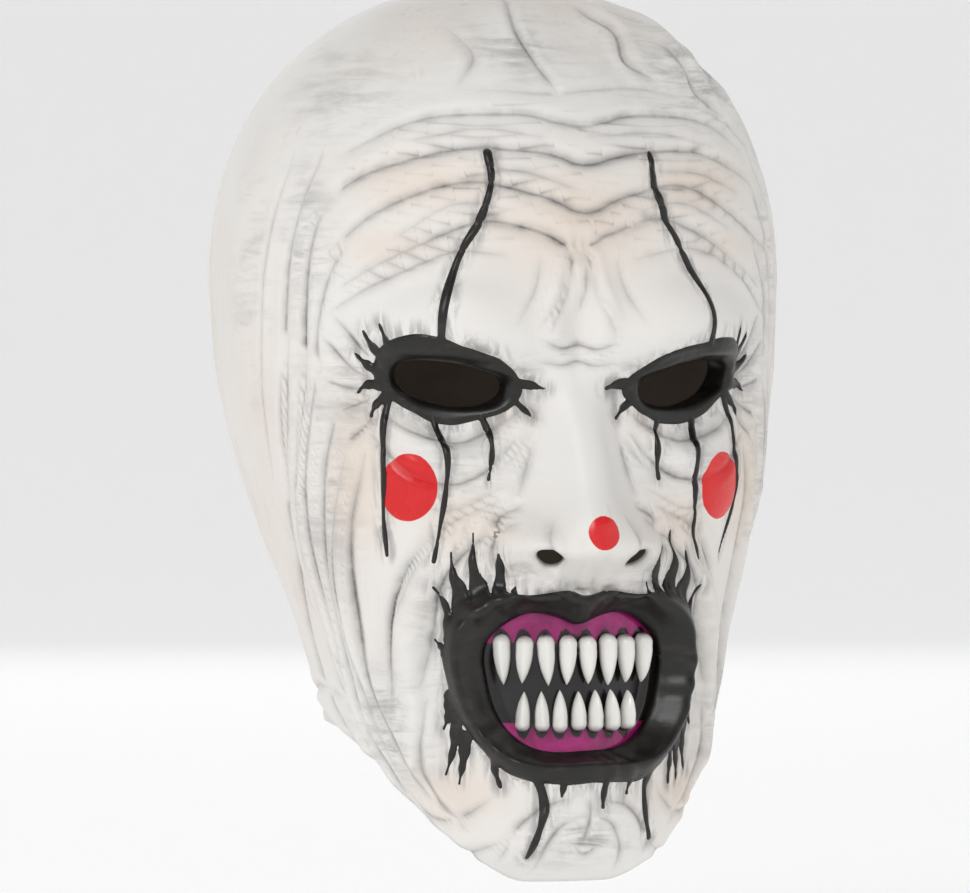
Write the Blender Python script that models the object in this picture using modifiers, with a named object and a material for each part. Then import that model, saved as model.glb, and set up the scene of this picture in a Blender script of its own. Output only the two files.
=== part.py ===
"""Full-head clown mask: a thin latex skin with a snarling face, a gum wall and pointed teeth.

Run with: blender --background --python part.py
Metres, +Z up. The face looks toward -Y. The origin is the inner top of the crown, where the mask sits on
a head. Heights are given as a drop from the outer top of the crown, and places across the face as the
distance along the skin from its midline.
"""
import math

import bmesh
import bpy
import numpy as np
from mathutils import Matrix, Vector

# Head form
MASK_HEIGHT = 0.260
HALF_WIDTH = 0.082
FRONT_DEPTH = 0.100
BACK_DEPTH = 0.105
WALL = 0.0020
DOME_SQUARENESS = 2.2
CROWN_MIDDLE = 0.62
JAW_RISE = 0.042
NAPE_RISE = 0.034

# Clearance between separate pieces, and the part of it that the facets of two skins need
GAP = 0.0003
FACET_ALLOWANCE = 0.0001

# Eye holes: their places as shares of HALF_WIDTH and MASK_HEIGHT, their sizes, and the rolled rim
EYE_ACROSS = 0.440
EYE_DOWN = 0.447
EYE_HOLE_WIDTH = 0.031
EYE_HOLE_HEIGHT = 0.0135
EYE_SLANT = math.radians(9.0)
EYE_HOLE_TURN = math.radians(12.0)
EYE_HOLE_SIDES = 20
EYE_RIM_REACH = 0.0044
EYE_RIM_WIDTH = 0.0040
EYE_RIM_RISE = 0.0036

# Mouth: its place as a share of MASK_HEIGHT, the opening, and the lip band round it
MOUTH_DOWN = 0.779
MOUTH_WIDTH = 0.058
MOUTH_HEIGHT = 0.039
MOUTH_SQUARENESS = 2.8
MOUTH_TAPER = 0.14
LIP_REACH = 0.0056
LIP_WIDTH = 0.0046
LIP_RISE = 0.0048
LIP_ROLL = 0.0036
LIP_ROLL_WIDTH = 0.0070
MOUTH_SIDES = 36

# Reach of the cutting plugs ahead of the bare face and behind it
PLUG_AHEAD = 0.018
PLUG_BEHIND = 0.014

# Nostrils: places as shares of HALF_WIDTH, MASK_HEIGHT and FRONT_DEPTH
NOSTRIL_ACROSS = 0.155
NOSTRIL_DOWN = 0.642
NOSTRIL_FORWARD = 1.085
NOSTRIL_RADIUS = 0.0036
NOSTRIL_LENGTH = 0.0130
NOSTRIL_LEAN = math.radians(48.0)

# Gum wall and teeth
GUM_THICKNESS = 0.0020
GUM_MARGIN = 0.0026
GUM_RINGS = 6
GUM_SPOKES = 26
UPPER_TEETH = 8
LOWER_TEETH = 7
TOOTH_SPACE = 0.0006
TOOTH_THICKNESS = 0.0042
UPPER_TOOTH_LENGTH = 0.385 * MOUTH_HEIGHT
LOWER_TOOTH_LENGTH = 0.320 * MOUTH_HEIGHT
UPPER_ROW_SPAN = 0.86
LOWER_ROW_SPAN = 0.80
UPPER_ROOT = -0.74
LOWER_ROOT = 0.76
TOOTH_SIDES = 7

# Facets of the skin: columns round the head and rows down it, with the finest step as a share of the widest
SKIN_COLUMNS = 56
DOME_ROWS = 8
FACE_ROWS = 34
FACE_STEP = 0.30
MOUTH_STEP = 0.62

# down: share of MASK_HEIGHT; half_width: of HALF_WIDTH; front and middle: of FRONT_DEPTH; back: of
# BACK_DEPTH. middle is how far forward of the axis the section is widest.
HEAD_SECTIONS = (
    # down, half_width, front, back, middle
    (0.337, 1.000, 0.965, 1.000, 0.28),
    (0.445, 0.976, 0.955, 0.980, 0.30),
    (0.535, 0.918, 0.955, 0.925, 0.34),
    (0.623, 0.838, 0.960, 0.825, 0.38),
    (0.711, 0.740, 0.975, 0.720, 0.44),
    (0.777, 0.680, 0.985, 0.655, 0.47),
    (0.832, 0.632, 0.995, 0.615, 0.50),
    (0.887, 0.580, 1.010, 0.590, 0.53),
    (0.938, 0.520, 1.020, 0.575, 0.55),
    (0.974, 0.455, 0.985, 0.565, 0.55),
    (1.000, 0.385, 0.885, 0.560, 0.55),
)

# Ridge of the nose. down: share of MASK_HEIGHT; rise: of FRONT_DEPTH; half_width: of HALF_WIDTH.
NOSE_SECTIONS = (
    # down, rise, half_width
    (0.405, 0.000, 0.125),
    (0.440, 0.020, 0.110),
    (0.490, 0.080, 0.112),
    (0.560, 0.155, 0.130),
    (0.610, 0.215, 0.160),
    (0.638, 0.195, 0.175),
    (0.658, 0.090, 0.180),
    (0.677, 0.000, 0.180),
)
NOSE_FLATNESS = 2.4

# Broad forms pushed forward. across and half_width: shares of HALF_WIDTH; down and half_height: of
# MASK_HEIGHT; rise: of FRONT_DEPTH. A form away from the midline is there on both sides.
FACE_FORMS = (
    # name, across, down, half_width, half_height, rise
    ("forehead", 0.00, 0.258, 0.50, 0.110, 0.020),
    ("brow_boss", 0.36, 0.355, 0.28, 0.040, 0.034),
    ("eye_socket", 0.44, 0.456, 0.25, 0.048, -0.135),
    ("nose_root", 0.00, 0.425, 0.12, 0.030, -0.020),
    ("cheekbone", 0.64, 0.555, 0.24, 0.060, 0.058),
    ("nose_wing", 0.200, 0.628, 0.090, 0.030, 0.120),
    ("cheek_hollow", 0.74, 0.699, 0.20, 0.085, -0.030),
    ("muzzle", 0.00, 0.757, 0.46, 0.105, 0.035),
    ("jaw_corner", 0.66, 0.825, 0.24, 0.070, 0.020),
    ("chin", 0.00, 0.922, 0.25, 0.048, 0.045),
    ("chin_dimple", 0.00, 0.940, 0.05, 0.020, -0.022),
)

# Folds cast in the skin, as curves through three places. across and width: shares of HALF_WIDTH; down: of
# MASK_HEIGHT; rise: of FRONT_DEPTH. Each is there on both sides.
FOLDS = (
    # name, across, down, across, down, across, down, width, rise
    ("brow", 0.09, 0.428, 0.36, 0.382, 0.70, 0.386, 0.105, 0.072),
    ("frown", 0.050, 0.410, 0.085, 0.365, 0.035, 0.330, 0.040, 0.020),
    ("eye_bag", 0.20, 0.502, 0.44, 0.532, 0.70, 0.488, 0.055, 0.024),
    ("smile_fold", 0.30, 0.635, 0.60, 0.699, 0.60, 0.864, 0.065, 0.032),
    ("inner_cheek_fold", 0.84, 0.510, 0.92, 0.709, 0.52, 0.908, 0.060, 0.022),
    ("outer_cheek_fold", 1.04, 0.480, 1.14, 0.728, 0.66, 0.883, 0.065, 0.022),
)

# Share of a tooth's half width and thickness at shares of its length, from root to tip
TOOTH_SECTIONS = (
    # along, half_width, thickness
    (0.00, 0.42, 0.45),
    (0.10, 0.80, 0.80),
    (0.32, 1.00, 1.00),
    (0.60, 0.78, 0.86),
    (0.86, 0.34, 0.52),
    (1.00, 0.06, 0.16),
)

# name: colour, roughness, coat
FINISHES = {
    "white_latex": ((0.86, 0.84, 0.80), 0.46, 0.10),
    "magenta_gum": ((0.45, 0.02, 0.20), 0.28, 0.50),
    "tooth_white": ((0.90, 0.89, 0.86), 0.22, 0.60),
}

# The dome ends where the sections begin, and the inner top of the crown is the origin
DOME_DOWN = HEAD_SECTIONS[0][0]
CROWN = WALL


def clear_scene():
    for old in list(bpy.data.objects):
        bpy.data.objects.remove(old, do_unlink=True)


def collection(name):
    made = bpy.data.collections.new(name)
    bpy.context.scene.collection.children.link(made)
    return made


def finish(name):
    colour, roughness, coat = FINISHES[name]
    material = bpy.data.materials.new(name)
    material.use_nodes = True
    shader = material.node_tree.nodes["Principled BSDF"]
    shader.inputs["Base Color"].default_value = (*colour, 1.0)
    shader.inputs["Roughness"].default_value = roughness
    shader.inputs["Metallic"].default_value = 0.0
    shader.inputs["Coat Weight"].default_value = coat
    return material


def column(table, index):
    return np.array([row[index] for row in table])


def smooth_table(table, index, at):
    """Reads one column of a table at places along its first column, without corners."""
    xs = column(table, 0)
    ys = column(table, index)
    slopes = np.gradient(ys, xs)
    at = np.clip(at, xs[0], xs[-1])
    low = np.clip(np.searchsorted(xs, at, side="right") - 1, 0, len(xs) - 2)
    span = xs[low + 1] - xs[low]
    t = (at - xs[low]) / span
    start = (2 * t**3 - 3 * t**2 + 1) * ys[low] + (t**3 - 2 * t**2 + t) * span * slopes[low]
    end = (3 * t**2 - 2 * t**3) * ys[low + 1] + (t**3 - t**2) * span * slopes[low + 1]
    return start + end


def head_section(drop):
    """Half width, front, back and widest line of the bare head at each drop from the crown."""
    down = drop / MASK_HEIGHT
    below = np.maximum(down, DOME_DOWN)
    half_width, front, back, middle = (smooth_table(HEAD_SECTIONS, i, below) for i in range(1, 5))
    rest = np.clip(1.0 - down / DOME_DOWN, 0.0, 1.0)
    dome = (1.0 - rest**DOME_SQUARENESS) ** (1.0 / DOME_SQUARENESS)
    middle = middle * FRONT_DEPTH
    ahead = (front * FRONT_DEPTH - middle) * dome
    behind = (back * BACK_DEPTH + middle) * dome
    middle = middle * (CROWN_MIDDLE + (1.0 - CROWN_MIDDLE) * dome)
    return half_width * HALF_WIDTH * dome, ahead, behind, middle


def bump(across, drop, form):
    """A rounded rise at one place, and its mirror image where it is off the midline."""
    _, at, down, half_width, half_height, rise = form
    tall = ((drop / MASK_HEIGHT - down) / half_height) ** 2
    sides = (1.0, -1.0) if at > 0.0 else (1.0,)
    total = 0.0
    for side in sides:
        wide = ((across / HALF_WIDTH - side * at) / half_width) ** 2
        total = total + np.exp(-wide - tall)
    return total * rise * FRONT_DEPTH


def nose(across, drop):
    down = drop / MASK_HEIGHT
    rise = smooth_table(NOSE_SECTIONS, 1, down) * FRONT_DEPTH
    half_width = smooth_table(NOSE_SECTIONS, 2, down) * HALF_WIDTH
    return rise * np.exp(-np.abs(across / half_width) ** NOSE_FLATNESS)


def fold(across, drop, row, steps=24):
    """A ridge along a curve through three places, fading out at both ends."""
    _, a0, d0, a1, d1, a2, d2, width, rise = row
    near = np.full(np.shape(across), 1.0)
    best = np.full(np.shape(across), np.inf)
    side = np.abs(across)
    for k in range(steps + 1):
        t = k / steps
        a = ((1 - t) * (1 - 2 * t) * a0 + 4 * t * (1 - t) * a1 + t * (2 * t - 1) * a2) * HALF_WIDTH
        d = ((1 - t) * (1 - 2 * t) * d0 + 4 * t * (1 - t) * d1 + t * (2 * t - 1) * d2) * MASK_HEIGHT
        away = (side - a) ** 2 + (drop - d) ** 2
        closer = away < best
        best = np.where(closer, away, best)
        near = np.where(closer, math.sin(math.pi * (0.08 + 0.84 * t)) ** 0.7, near)
    return near * rise * FRONT_DEPTH * np.exp(-best / (width * HALF_WIDTH) ** 2)


def outline_distance(across, down, half_width, half_height, power):
    """Rough distance outside a rounded outline, below zero inside it."""
    u = np.abs(across) / half_width + 1e-6
    v = np.abs(down) / half_height + 1e-6
    radius = (u**power + v**power) ** (1.0 / power)
    slope = np.hypot((u / radius) ** (power - 1) / half_width, (v / radius) ** (power - 1) / half_height)
    return (radius - 1.0) / slope


def eye_distance(across, drop):
    x = np.abs(across) - EYE_ACROSS * HALF_WIDTH
    y = drop - EYE_DOWN * MASK_HEIGHT
    along = x * math.cos(EYE_SLANT) - y * math.sin(EYE_SLANT)
    off = x * math.sin(EYE_SLANT) + y * math.cos(EYE_SLANT)
    return outline_distance(along, off, EYE_HOLE_WIDTH / 2, EYE_HOLE_HEIGHT / 2, 2.0)


def mouth_half_width(share):
    """Half the mouth opening at a share of its half height, from -1 at its top to 1 at its bottom."""
    return MOUTH_WIDTH / 2 * (1.0 - MOUTH_TAPER * np.clip(share, -1.3, 1.3))


def mouth_distance(across, drop):
    down = drop - MOUTH_DOWN * MASK_HEIGHT
    half_width = mouth_half_width(down / (MOUTH_HEIGHT / 2))
    return outline_distance(across, down, half_width, MOUTH_HEIGHT / 2, MOUTH_SQUARENESS)


def ease(low, high, at):
    t = np.clip((at - low) / (high - low), 0.0, 1.0)
    return t * t * (3.0 - 2.0 * t)


def eye_rim(across, drop):
    away = eye_distance(across, drop)
    return EYE_RIM_RISE * np.exp(-(((away - EYE_RIM_REACH) / EYE_RIM_WIDTH) ** 2))


def lip(across, drop):
    away = mouth_distance(across, drop)
    crest = LIP_RISE * np.exp(-(((away - LIP_REACH) / LIP_WIDTH) ** 2))
    rolled = LIP_ROLL * (1.0 - ease(0.0, LIP_ROLL_WIDTH, away))
    return crest - rolled


def bare_face(turn, drop):
    """The skin without lips and rims: where it is, and how far along the skin from the midline."""
    half_width, ahead, behind, middle = head_section(drop)
    depth = np.where(np.cos(turn) > 0.0, ahead, behind)
    across = half_width * turn
    facing = ease(-0.1, 0.45, np.cos(turn))
    forward = nose(across, drop)
    for form in FACE_FORMS:
        forward = forward + bump(across, drop, form)
    forward = forward * facing
    place = np.stack(
        (half_width * np.sin(turn), -(middle + depth * np.cos(turn) + forward), CROWN - drop), axis=-1
    )
    return place, across


def normals(place_of, turn, drop, reach=0.0008):
    """Outward direction of a skin, from its slopes either way."""
    widths = np.maximum(head_section(drop)[0], 0.2 * HALF_WIDTH)
    step = reach / widths
    sideways = place_of(turn + step, drop) - place_of(turn - step, drop)
    downward = place_of(turn, drop + reach) - place_of(turn, drop - reach)
    out = np.cross(downward, sideways)
    return out / np.linalg.norm(out, axis=-1, keepdims=True)


def skin_place(turn, drop):
    """Outer surface of the skin at a turn round the head and a drop from the crown."""
    place, across = bare_face(turn, drop)
    facing = ease(-0.1, 0.45, np.cos(turn))
    raised = eye_rim(across, drop) + lip(across, drop)
    for row in FOLDS:
        raised = raised + fold(across, drop, row)
    out = normals(lambda t, d: bare_face(t, d)[0], turn, drop)
    return place + out * (raised * facing)[..., None]


def behind_lips(across, drop, depth):
    """A place on the bare face sunk by a depth, and the outward direction there."""
    turn = across / head_section(drop)[0]
    out = normals(lambda t, d: bare_face(t, d)[0], turn, drop)
    return bare_face(turn, drop)[0] - out * np.asarray(depth)[..., None], out


def spaced(count, weight):
    """Places from 0 to 1 whose steps follow a weight."""
    fine = np.linspace(0.0, 1.0, 400)
    reach = np.concatenate(([0.0], np.cumsum((1.0 / weight(fine))[:-1])))
    return np.interp(np.linspace(0.0, 1.0, count), reach / reach[-1], fine)


def rim_drop(turn):
    """Drop of the lower edge: lowest under the chin, higher along the jaw and at the nape."""
    side = np.abs(turn)
    behind = ease(2.0, 2.9, side)
    return MASK_HEIGHT - JAW_RISE * ease(0.40, 1.95, side) * (1.0 - behind) - NAPE_RISE * behind


def row_weight(share):
    """Height of a row of facets at a share of the way down the face: least round the mouth."""
    near_mouth = ease(0.35, 0.55, share) * (1.0 - ease(0.86, 1.0, share))
    return 1.0 - (1.0 - MOUTH_STEP) * near_mouth


def skin_surface():
    """The open outer surface: a fan at the crown, then rings of quads down to the lower edge."""
    half = spaced(SKIN_COLUMNS // 2 + 1, lambda t: FACE_STEP + (1.0 - FACE_STEP) * ease(0.18, 0.62, t))
    turns = np.concatenate((half, 2.0 - half[-2:0:-1])) * math.pi
    turns = np.where(turns > math.pi, turns - 2.0 * math.pi, turns)
    rise = np.linspace(0.0, math.pi / 2, DOME_ROWS + 1)[1:]
    dome = DOME_DOWN * MASK_HEIGHT * (1.0 - np.cos(rise))
    low = spaced(FACE_ROWS + 1, row_weight)
    edge = rim_drop(turns)
    drops = [np.full(len(turns), d) for d in dome]
    drops += [dome[-1] + t * (edge - dome[-1]) for t in low[1:]]
    rings = np.stack([skin_place(turns, d) for d in drops])
    count = len(turns)
    points = [(0.0, -head_section(np.array(0.0))[3], CROWN)]
    points += [tuple(p) for p in rings.reshape(-1, 3)]
    faces = [(0, 1 + (j + 1) % count, 1 + j) for j in range(count)]
    for i in range(len(rings) - 1):
        for j in range(count):
            here, beside = 1 + i * count + j, 1 + i * count + (j + 1) % count
            faces.append((here, beside, beside + count, here + count))
    return points, faces


def add_object(name, points, faces, material, home):
    mesh = bpy.data.meshes.new(name)
    mesh.from_pydata([tuple(map(float, p)) for p in points], [], faces)
    shape = bmesh.new()
    shape.from_mesh(mesh)
    bmesh.ops.recalc_face_normals(shape, faces=shape.faces)
    shape.to_mesh(mesh)
    shape.free()
    mesh.shade_smooth()
    made = bpy.data.objects.new(name, mesh)
    if material is not None:
        mesh.materials.append(material)
    home.objects.link(made)
    return made


def thicken(made, thickness):
    """Adds the wall on the inner side of an open surface."""
    wall = made.modifiers.new("wall", "SOLIDIFY")
    wall.thickness = thickness
    wall.offset = -1.0
    return wall


def cut(made, cutter):
    hole = made.modifiers.new("cut_" + cutter.name, "BOOLEAN")
    hole.operation = "DIFFERENCE"
    hole.solver = "EXACT"
    hole.object = cutter


def hide_cutter(cutter):
    cutter.hide_render = True
    cutter.display_type = "WIRE"


def cutter_object(name, shape, home):
    mesh = bpy.data.meshes.new(name)
    shape.to_mesh(mesh)
    shape.free()
    made = bpy.data.objects.new(name, mesh)
    home.objects.link(made)
    hide_cutter(made)
    return made


def mouth_ring(grow, spokes):
    """Places round the mouth opening's outline, grown by a distance, as across and drop."""
    angles = np.arange(spokes) / spokes * 2.0 * math.pi
    power = 2.0 / MOUTH_SQUARENESS
    wide = np.sign(np.cos(angles)) * np.abs(np.cos(angles)) ** power
    tall = np.sign(np.sin(angles)) * np.abs(np.sin(angles)) ** power
    half_width = mouth_half_width(tall) + grow
    return wide * half_width, MOUTH_DOWN * MASK_HEIGHT + tall * (MOUTH_HEIGHT / 2 + grow)


def plug(name, across, drop, direction, home):
    """A cutter through the wall round an outline on the skin, along one direction or square to the face."""
    place, out = behind_lips(across, drop, np.zeros(len(across)))
    out = out if direction is None else np.array(direction)
    shape = bmesh.new()
    rings = []
    for ring in (place + out * PLUG_AHEAD, place - out * PLUG_BEHIND):
        rings.append([shape.verts.new(tuple(map(float, p))) for p in ring])
    count = len(across)
    for ring in rings:
        middle = shape.verts.new(sum((v.co for v in ring), Vector()) / count)
        for k in range(count):
            shape.faces.new((middle, ring[k], ring[(k + 1) % count]))
    for k in range(count):
        after = (k + 1) % count
        shape.faces.new((rings[0][k], rings[1][k], rings[1][after], rings[0][after]))
    bmesh.ops.recalc_face_normals(shape, faces=shape.faces)
    return cutter_object(name, shape, home)


def eye_cutter(side, home):
    """A slanted elliptic plug, turned a little outward so that the eye hole looks ahead."""
    angles = np.arange(EYE_HOLE_SIDES) / EYE_HOLE_SIDES * 2.0 * math.pi
    along = np.cos(angles) * EYE_HOLE_WIDTH / 2
    off = np.sin(angles) * EYE_HOLE_HEIGHT / 2
    across = EYE_ACROSS * HALF_WIDTH + along * math.cos(EYE_SLANT) + off * math.sin(EYE_SLANT)
    drop = EYE_DOWN * MASK_HEIGHT - along * math.sin(EYE_SLANT) + off * math.cos(EYE_SLANT)
    ahead = (side * math.sin(EYE_HOLE_TURN), -math.cos(EYE_HOLE_TURN), 0.0)
    return plug("eye_hole_" + ("right" if side > 0 else "left"), side * across, drop, ahead, home)


def mouth_cutter(home):
    across, drop = mouth_ring(0.0, MOUTH_SIDES)
    return plug("mouth_opening", across, drop, None, home)


def nostril_cutter(side, home):
    shape = bmesh.new()
    bmesh.ops.create_cone(
        shape, cap_ends=True, segments=12, radius1=NOSTRIL_RADIUS, radius2=NOSTRIL_RADIUS,
        depth=NOSTRIL_LENGTH,
    )
    middle = Vector((
        side * NOSTRIL_ACROSS * HALF_WIDTH, -NOSTRIL_FORWARD * FRONT_DEPTH,
        CROWN - NOSTRIL_DOWN * MASK_HEIGHT,
    ))
    lean = Matrix.Rotation(-NOSTRIL_LEAN, 4, "X")
    shape.transform(Matrix.Translation(middle) @ lean)
    return cutter_object("nostril_" + ("right" if side > 0 else "left"), shape, home)


def make_skin(parts, cutters, material):
    points, faces = skin_surface()
    skin = add_object("mask_skin", points, faces, material, parts)
    facets = skin.modifiers.new("facets", "TRIANGULATE")
    facets.quad_method = "SHORTEST_DIAGONAL"
    thicken(skin, WALL)
    for side in (1, -1):
        cut(skin, eye_cutter(side, cutters))
        cut(skin, nostril_cutter(side, cutters))
    cut(skin, mouth_cutter(cutters))
    return skin


def gum_depth():
    """How far the gum wall's front lies behind the bare face."""
    return LIP_ROLL + WALL + GAP + FACET_ALLOWANCE


def make_gum(parts, material):
    """A wall behind the mouth opening, in rings of quads round its middle."""
    depth = gum_depth()
    middle = MOUTH_DOWN * MASK_HEIGHT
    outline_across, outline_drop = mouth_ring(GUM_MARGIN, GUM_SPOKES)
    centre, _ = behind_lips(np.array(0.0), np.array(middle), np.array(depth))
    points = [tuple(centre)]
    for ring in range(1, GUM_RINGS + 1):
        share = ring / GUM_RINGS
        across, drop = outline_across * share, middle + (outline_drop - middle) * share
        place, _ = behind_lips(across, drop, np.full(GUM_SPOKES, depth))
        points += [tuple(p) for p in place]
    faces = [(0, 1 + k, 1 + (k + 1) % GUM_SPOKES) for k in range(GUM_SPOKES)]
    for ring in range(GUM_RINGS - 1):
        for k in range(GUM_SPOKES):
            here, beside = 1 + ring * GUM_SPOKES + k, 1 + ring * GUM_SPOKES + (k + 1) % GUM_SPOKES
            faces.append((here, here + GUM_SPOKES, beside + GUM_SPOKES, beside))
    gum = add_object("gum_panel", points, faces, material, parts)
    flip_if_backward(gum)
    thicken(gum, GUM_THICKNESS)
    return gum


def flip_if_backward(made):
    """Turns an open surface so that its outer side looks forward."""
    forward = sum(face.normal.y * face.area for face in made.data.polygons)
    if forward > 0.0:
        made.data.flip_normals()


def tooth_shape(half_width, length):
    """A pointed tooth with a flat back: root at +Z, tip at -Z, front toward -Y."""
    shape = bmesh.new()
    rings = []
    for along, wide, thick in TOOTH_SECTIONS:
        angles = [math.pi * k / (TOOTH_SIDES - 1) for k in range(TOOTH_SIDES)]
        rings.append([
            shape.verts.new((
                half_width * wide * math.cos(a), -TOOTH_THICKNESS * thick * math.sin(a),
                length * (0.5 - along),
            ))
            for a in angles
        ])
    for upper, lower in zip(rings, rings[1:]):
        for k in range(TOOTH_SIDES):
            after = (k + 1) % TOOTH_SIDES
            shape.faces.new((upper[k], upper[after], lower[after], lower[k]))
    shape.faces.new(rings[0][::-1])
    shape.faces.new(rings[-1])
    bmesh.ops.recalc_face_normals(shape, faces=shape.faces)
    return shape


def tooth_row(name, count, span, root, length, points_down, parts, material):
    """Teeth side by side along the gum wall, each square to it."""
    half_height = MOUTH_HEIGHT / 2
    row_half = span * float(mouth_half_width(root))
    across = (np.arange(count) + 0.5 - count / 2) * 2.0 * row_half / count
    root_drop = MOUTH_DOWN * MASK_HEIGHT + root * half_height
    drop = np.full(count, root_drop + (length / 2 if points_down else -length / 2))
    seats, outs = behind_lips(across, drop, np.full(count, gum_depth() - GAP))
    pitch = np.min(np.linalg.norm(np.diff(seats, axis=0), axis=1))
    for k, (seat, out) in enumerate(zip(seats, outs)):
        front = Vector(out)
        down = Vector((0.0, 0.0, -1.0 if points_down else 1.0))
        down = (down - down.project(front)).normalized()
        side = front.cross(down)
        basis = Matrix((side, -front, -down)).transposed().to_4x4()
        shape = tooth_shape(float(pitch) / 2 - TOOTH_SPACE / 2, length)
        mesh = bpy.data.meshes.new(f"{name}_{k + 1}")
        shape.to_mesh(mesh)
        shape.free()
        mesh.shade_smooth()
        mesh.materials.append(material)
        tooth = bpy.data.objects.new(mesh.name, mesh)
        tooth.matrix_world = Matrix.Translation(Vector(seat)) @ basis
        parts.objects.link(tooth)


def main():
    clear_scene()
    parts = collection("clown_mask")
    cutters = collection("clown_mask_cutters")
    latex, gum, enamel = finish("white_latex"), finish("magenta_gum"), finish("tooth_white")
    make_skin(parts, cutters, latex)
    make_gum(parts, gum)
    upper = (UPPER_TEETH, UPPER_ROW_SPAN, UPPER_ROOT, UPPER_TOOTH_LENGTH, True)
    lower = (LOWER_TEETH, LOWER_ROW_SPAN, LOWER_ROOT, LOWER_TOOTH_LENGTH, False)
    tooth_row("upper_tooth", *upper, parts, enamel)
    tooth_row("lower_tooth", *lower, parts, enamel)
    bpy.context.view_layer.update()


main()
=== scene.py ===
"""Looks of a full-head latex clown mask, laid out as an add-on and run as a script.

The face looks toward -Y. Places on the skin are given as the distance across it from the face's midline,
in shares of the half width, and as the drop from the crown, in shares of the mask's height.
"""
import math

import bmesh
import bpy
import numpy as np
from bpy.props import FloatProperty, FloatVectorProperty
from mathutils import Matrix, Vector


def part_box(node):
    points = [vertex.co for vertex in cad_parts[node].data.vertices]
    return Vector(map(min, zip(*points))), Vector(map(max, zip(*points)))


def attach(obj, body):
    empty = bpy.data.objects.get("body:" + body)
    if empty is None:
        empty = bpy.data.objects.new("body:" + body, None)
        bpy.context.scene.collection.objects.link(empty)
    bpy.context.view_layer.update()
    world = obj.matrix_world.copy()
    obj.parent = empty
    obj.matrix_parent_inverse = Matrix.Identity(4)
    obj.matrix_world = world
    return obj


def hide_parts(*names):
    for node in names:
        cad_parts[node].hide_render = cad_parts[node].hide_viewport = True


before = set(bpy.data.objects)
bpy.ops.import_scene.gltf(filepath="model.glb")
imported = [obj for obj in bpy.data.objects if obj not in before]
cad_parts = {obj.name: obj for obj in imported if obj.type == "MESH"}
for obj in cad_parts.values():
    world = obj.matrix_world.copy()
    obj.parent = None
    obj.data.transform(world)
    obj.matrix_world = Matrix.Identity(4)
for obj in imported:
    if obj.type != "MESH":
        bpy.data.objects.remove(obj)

bl_info = {
    "name": "Clown Mask",
    "version": (1, 0, 0),
    "blender": (4, 5, 0),
    "location": "View3D > Sidebar > Mask",
    "description": "Builds a painted full-head latex clown mask round its solid model",
    "category": "Add Mesh",
}

# Head form, from the frame
SKIN_LOW, SKIN_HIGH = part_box("mask_skin")
CROWN = SKIN_HIGH.z
WALL = CROWN
MASK_HEIGHT = SKIN_HIGH.z - SKIN_LOW.z
HALF_WIDTH = SKIN_HIGH.x
BACK_DEPTH = SKIN_HIGH.y
FRONT_DEPTH = 0.100
DOME_SQUARENESS = 2.2
CROWN_MIDDLE = 0.62
JAW_RISE = 0.042
NAPE_RISE = 0.034
GAP = 0.0003
FACET_ALLOWANCE = 0.0001

# Eye holes
EYE_ACROSS = 0.440
EYE_DOWN = 0.447
EYE_HOLE_WIDTH = 0.031
EYE_HOLE_HEIGHT = 0.0135
EYE_SLANT = math.radians(9.0)
EYE_RIM_REACH = 0.0044
EYE_RIM_WIDTH = 0.0034
EYE_RIM_RISE = 0.0036
EYE_RIM_ROLL = 0.0026
EYE_PAINT = (0.0470, 0.0285)

# Mouth
MOUTH_DOWN = 0.779
MOUTH_WIDTH = 0.058
MOUTH_HEIGHT = 0.039
MOUTH_SQUARENESS = 2.8
MOUTH_TAPER = 0.14
LIP_REACH = 0.0054
LIP_WIDTH = 0.0040
LIP_RISE = 0.0050
LIP_ROLL = 0.0036
LIP_ROLL_WIDTH = 0.0058
LIP_BAND = 0.0100

# Nostrils
NOSTRIL_ACROSS = 0.165
NOSTRIL_DOWN = 0.642
NOSTRIL_WIDTH = 0.0092
NOSTRIL_HEIGHT = 0.0050
NOSTRIL_SLANT = math.radians(24.0)

# Gum wall and teeth
GUM_THICKNESS = 0.0020
GUM_MARGIN = 0.0026
TOOTH_SPACE = 0.0006
TOOTH_THICKNESS = 0.0042
UPPER_TOOTH_LENGTH = 0.385 * MOUTH_HEIGHT
LOWER_TOOTH_LENGTH = 0.320 * MOUTH_HEIGHT
UPPER_ROW_SPAN = 0.86
LOWER_ROW_SPAN = 0.80
UPPER_ROOT = -0.74
LOWER_ROOT = 0.76

# Mesh density
SKIN_COLUMNS = 284
DOME_ROWS = 50
FACE_ROWS = 118
FACE_STEP = 0.42
GUM_COLUMNS = 150
GUM_ROWS = 96
TOOTH_SIDES = 28
PAINT_STEP = 0.00038
PAINT_REACH = 0.074
PAINT_TOP = 0.048
PAINT_FOOT = 0.255
TOOTH_RINGS = 26

# down: share of MASK_HEIGHT; half_width: of HALF_WIDTH; front and middle: of FRONT_DEPTH; back: of BACK_DEPTH
HEAD_SECTIONS = (
    # down, half_width, front, back, middle
    (0.337, 1.000, 0.965, 1.000, 0.28),
    (0.445, 0.976, 0.955, 0.980, 0.30),
    (0.535, 0.918, 0.955, 0.925, 0.34),
    (0.623, 0.838, 0.960, 0.825, 0.38),
    (0.711, 0.740, 0.975, 0.720, 0.44),
    (0.777, 0.680, 0.985, 0.655, 0.47),
    (0.832, 0.632, 0.995, 0.615, 0.50),
    (0.887, 0.580, 1.010, 0.590, 0.53),
    (0.938, 0.520, 1.020, 0.575, 0.55),
    (0.974, 0.455, 0.985, 0.565, 0.55),
    (1.000, 0.385, 0.885, 0.560, 0.55),
)
DOME_DOWN = HEAD_SECTIONS[0][0]

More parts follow.
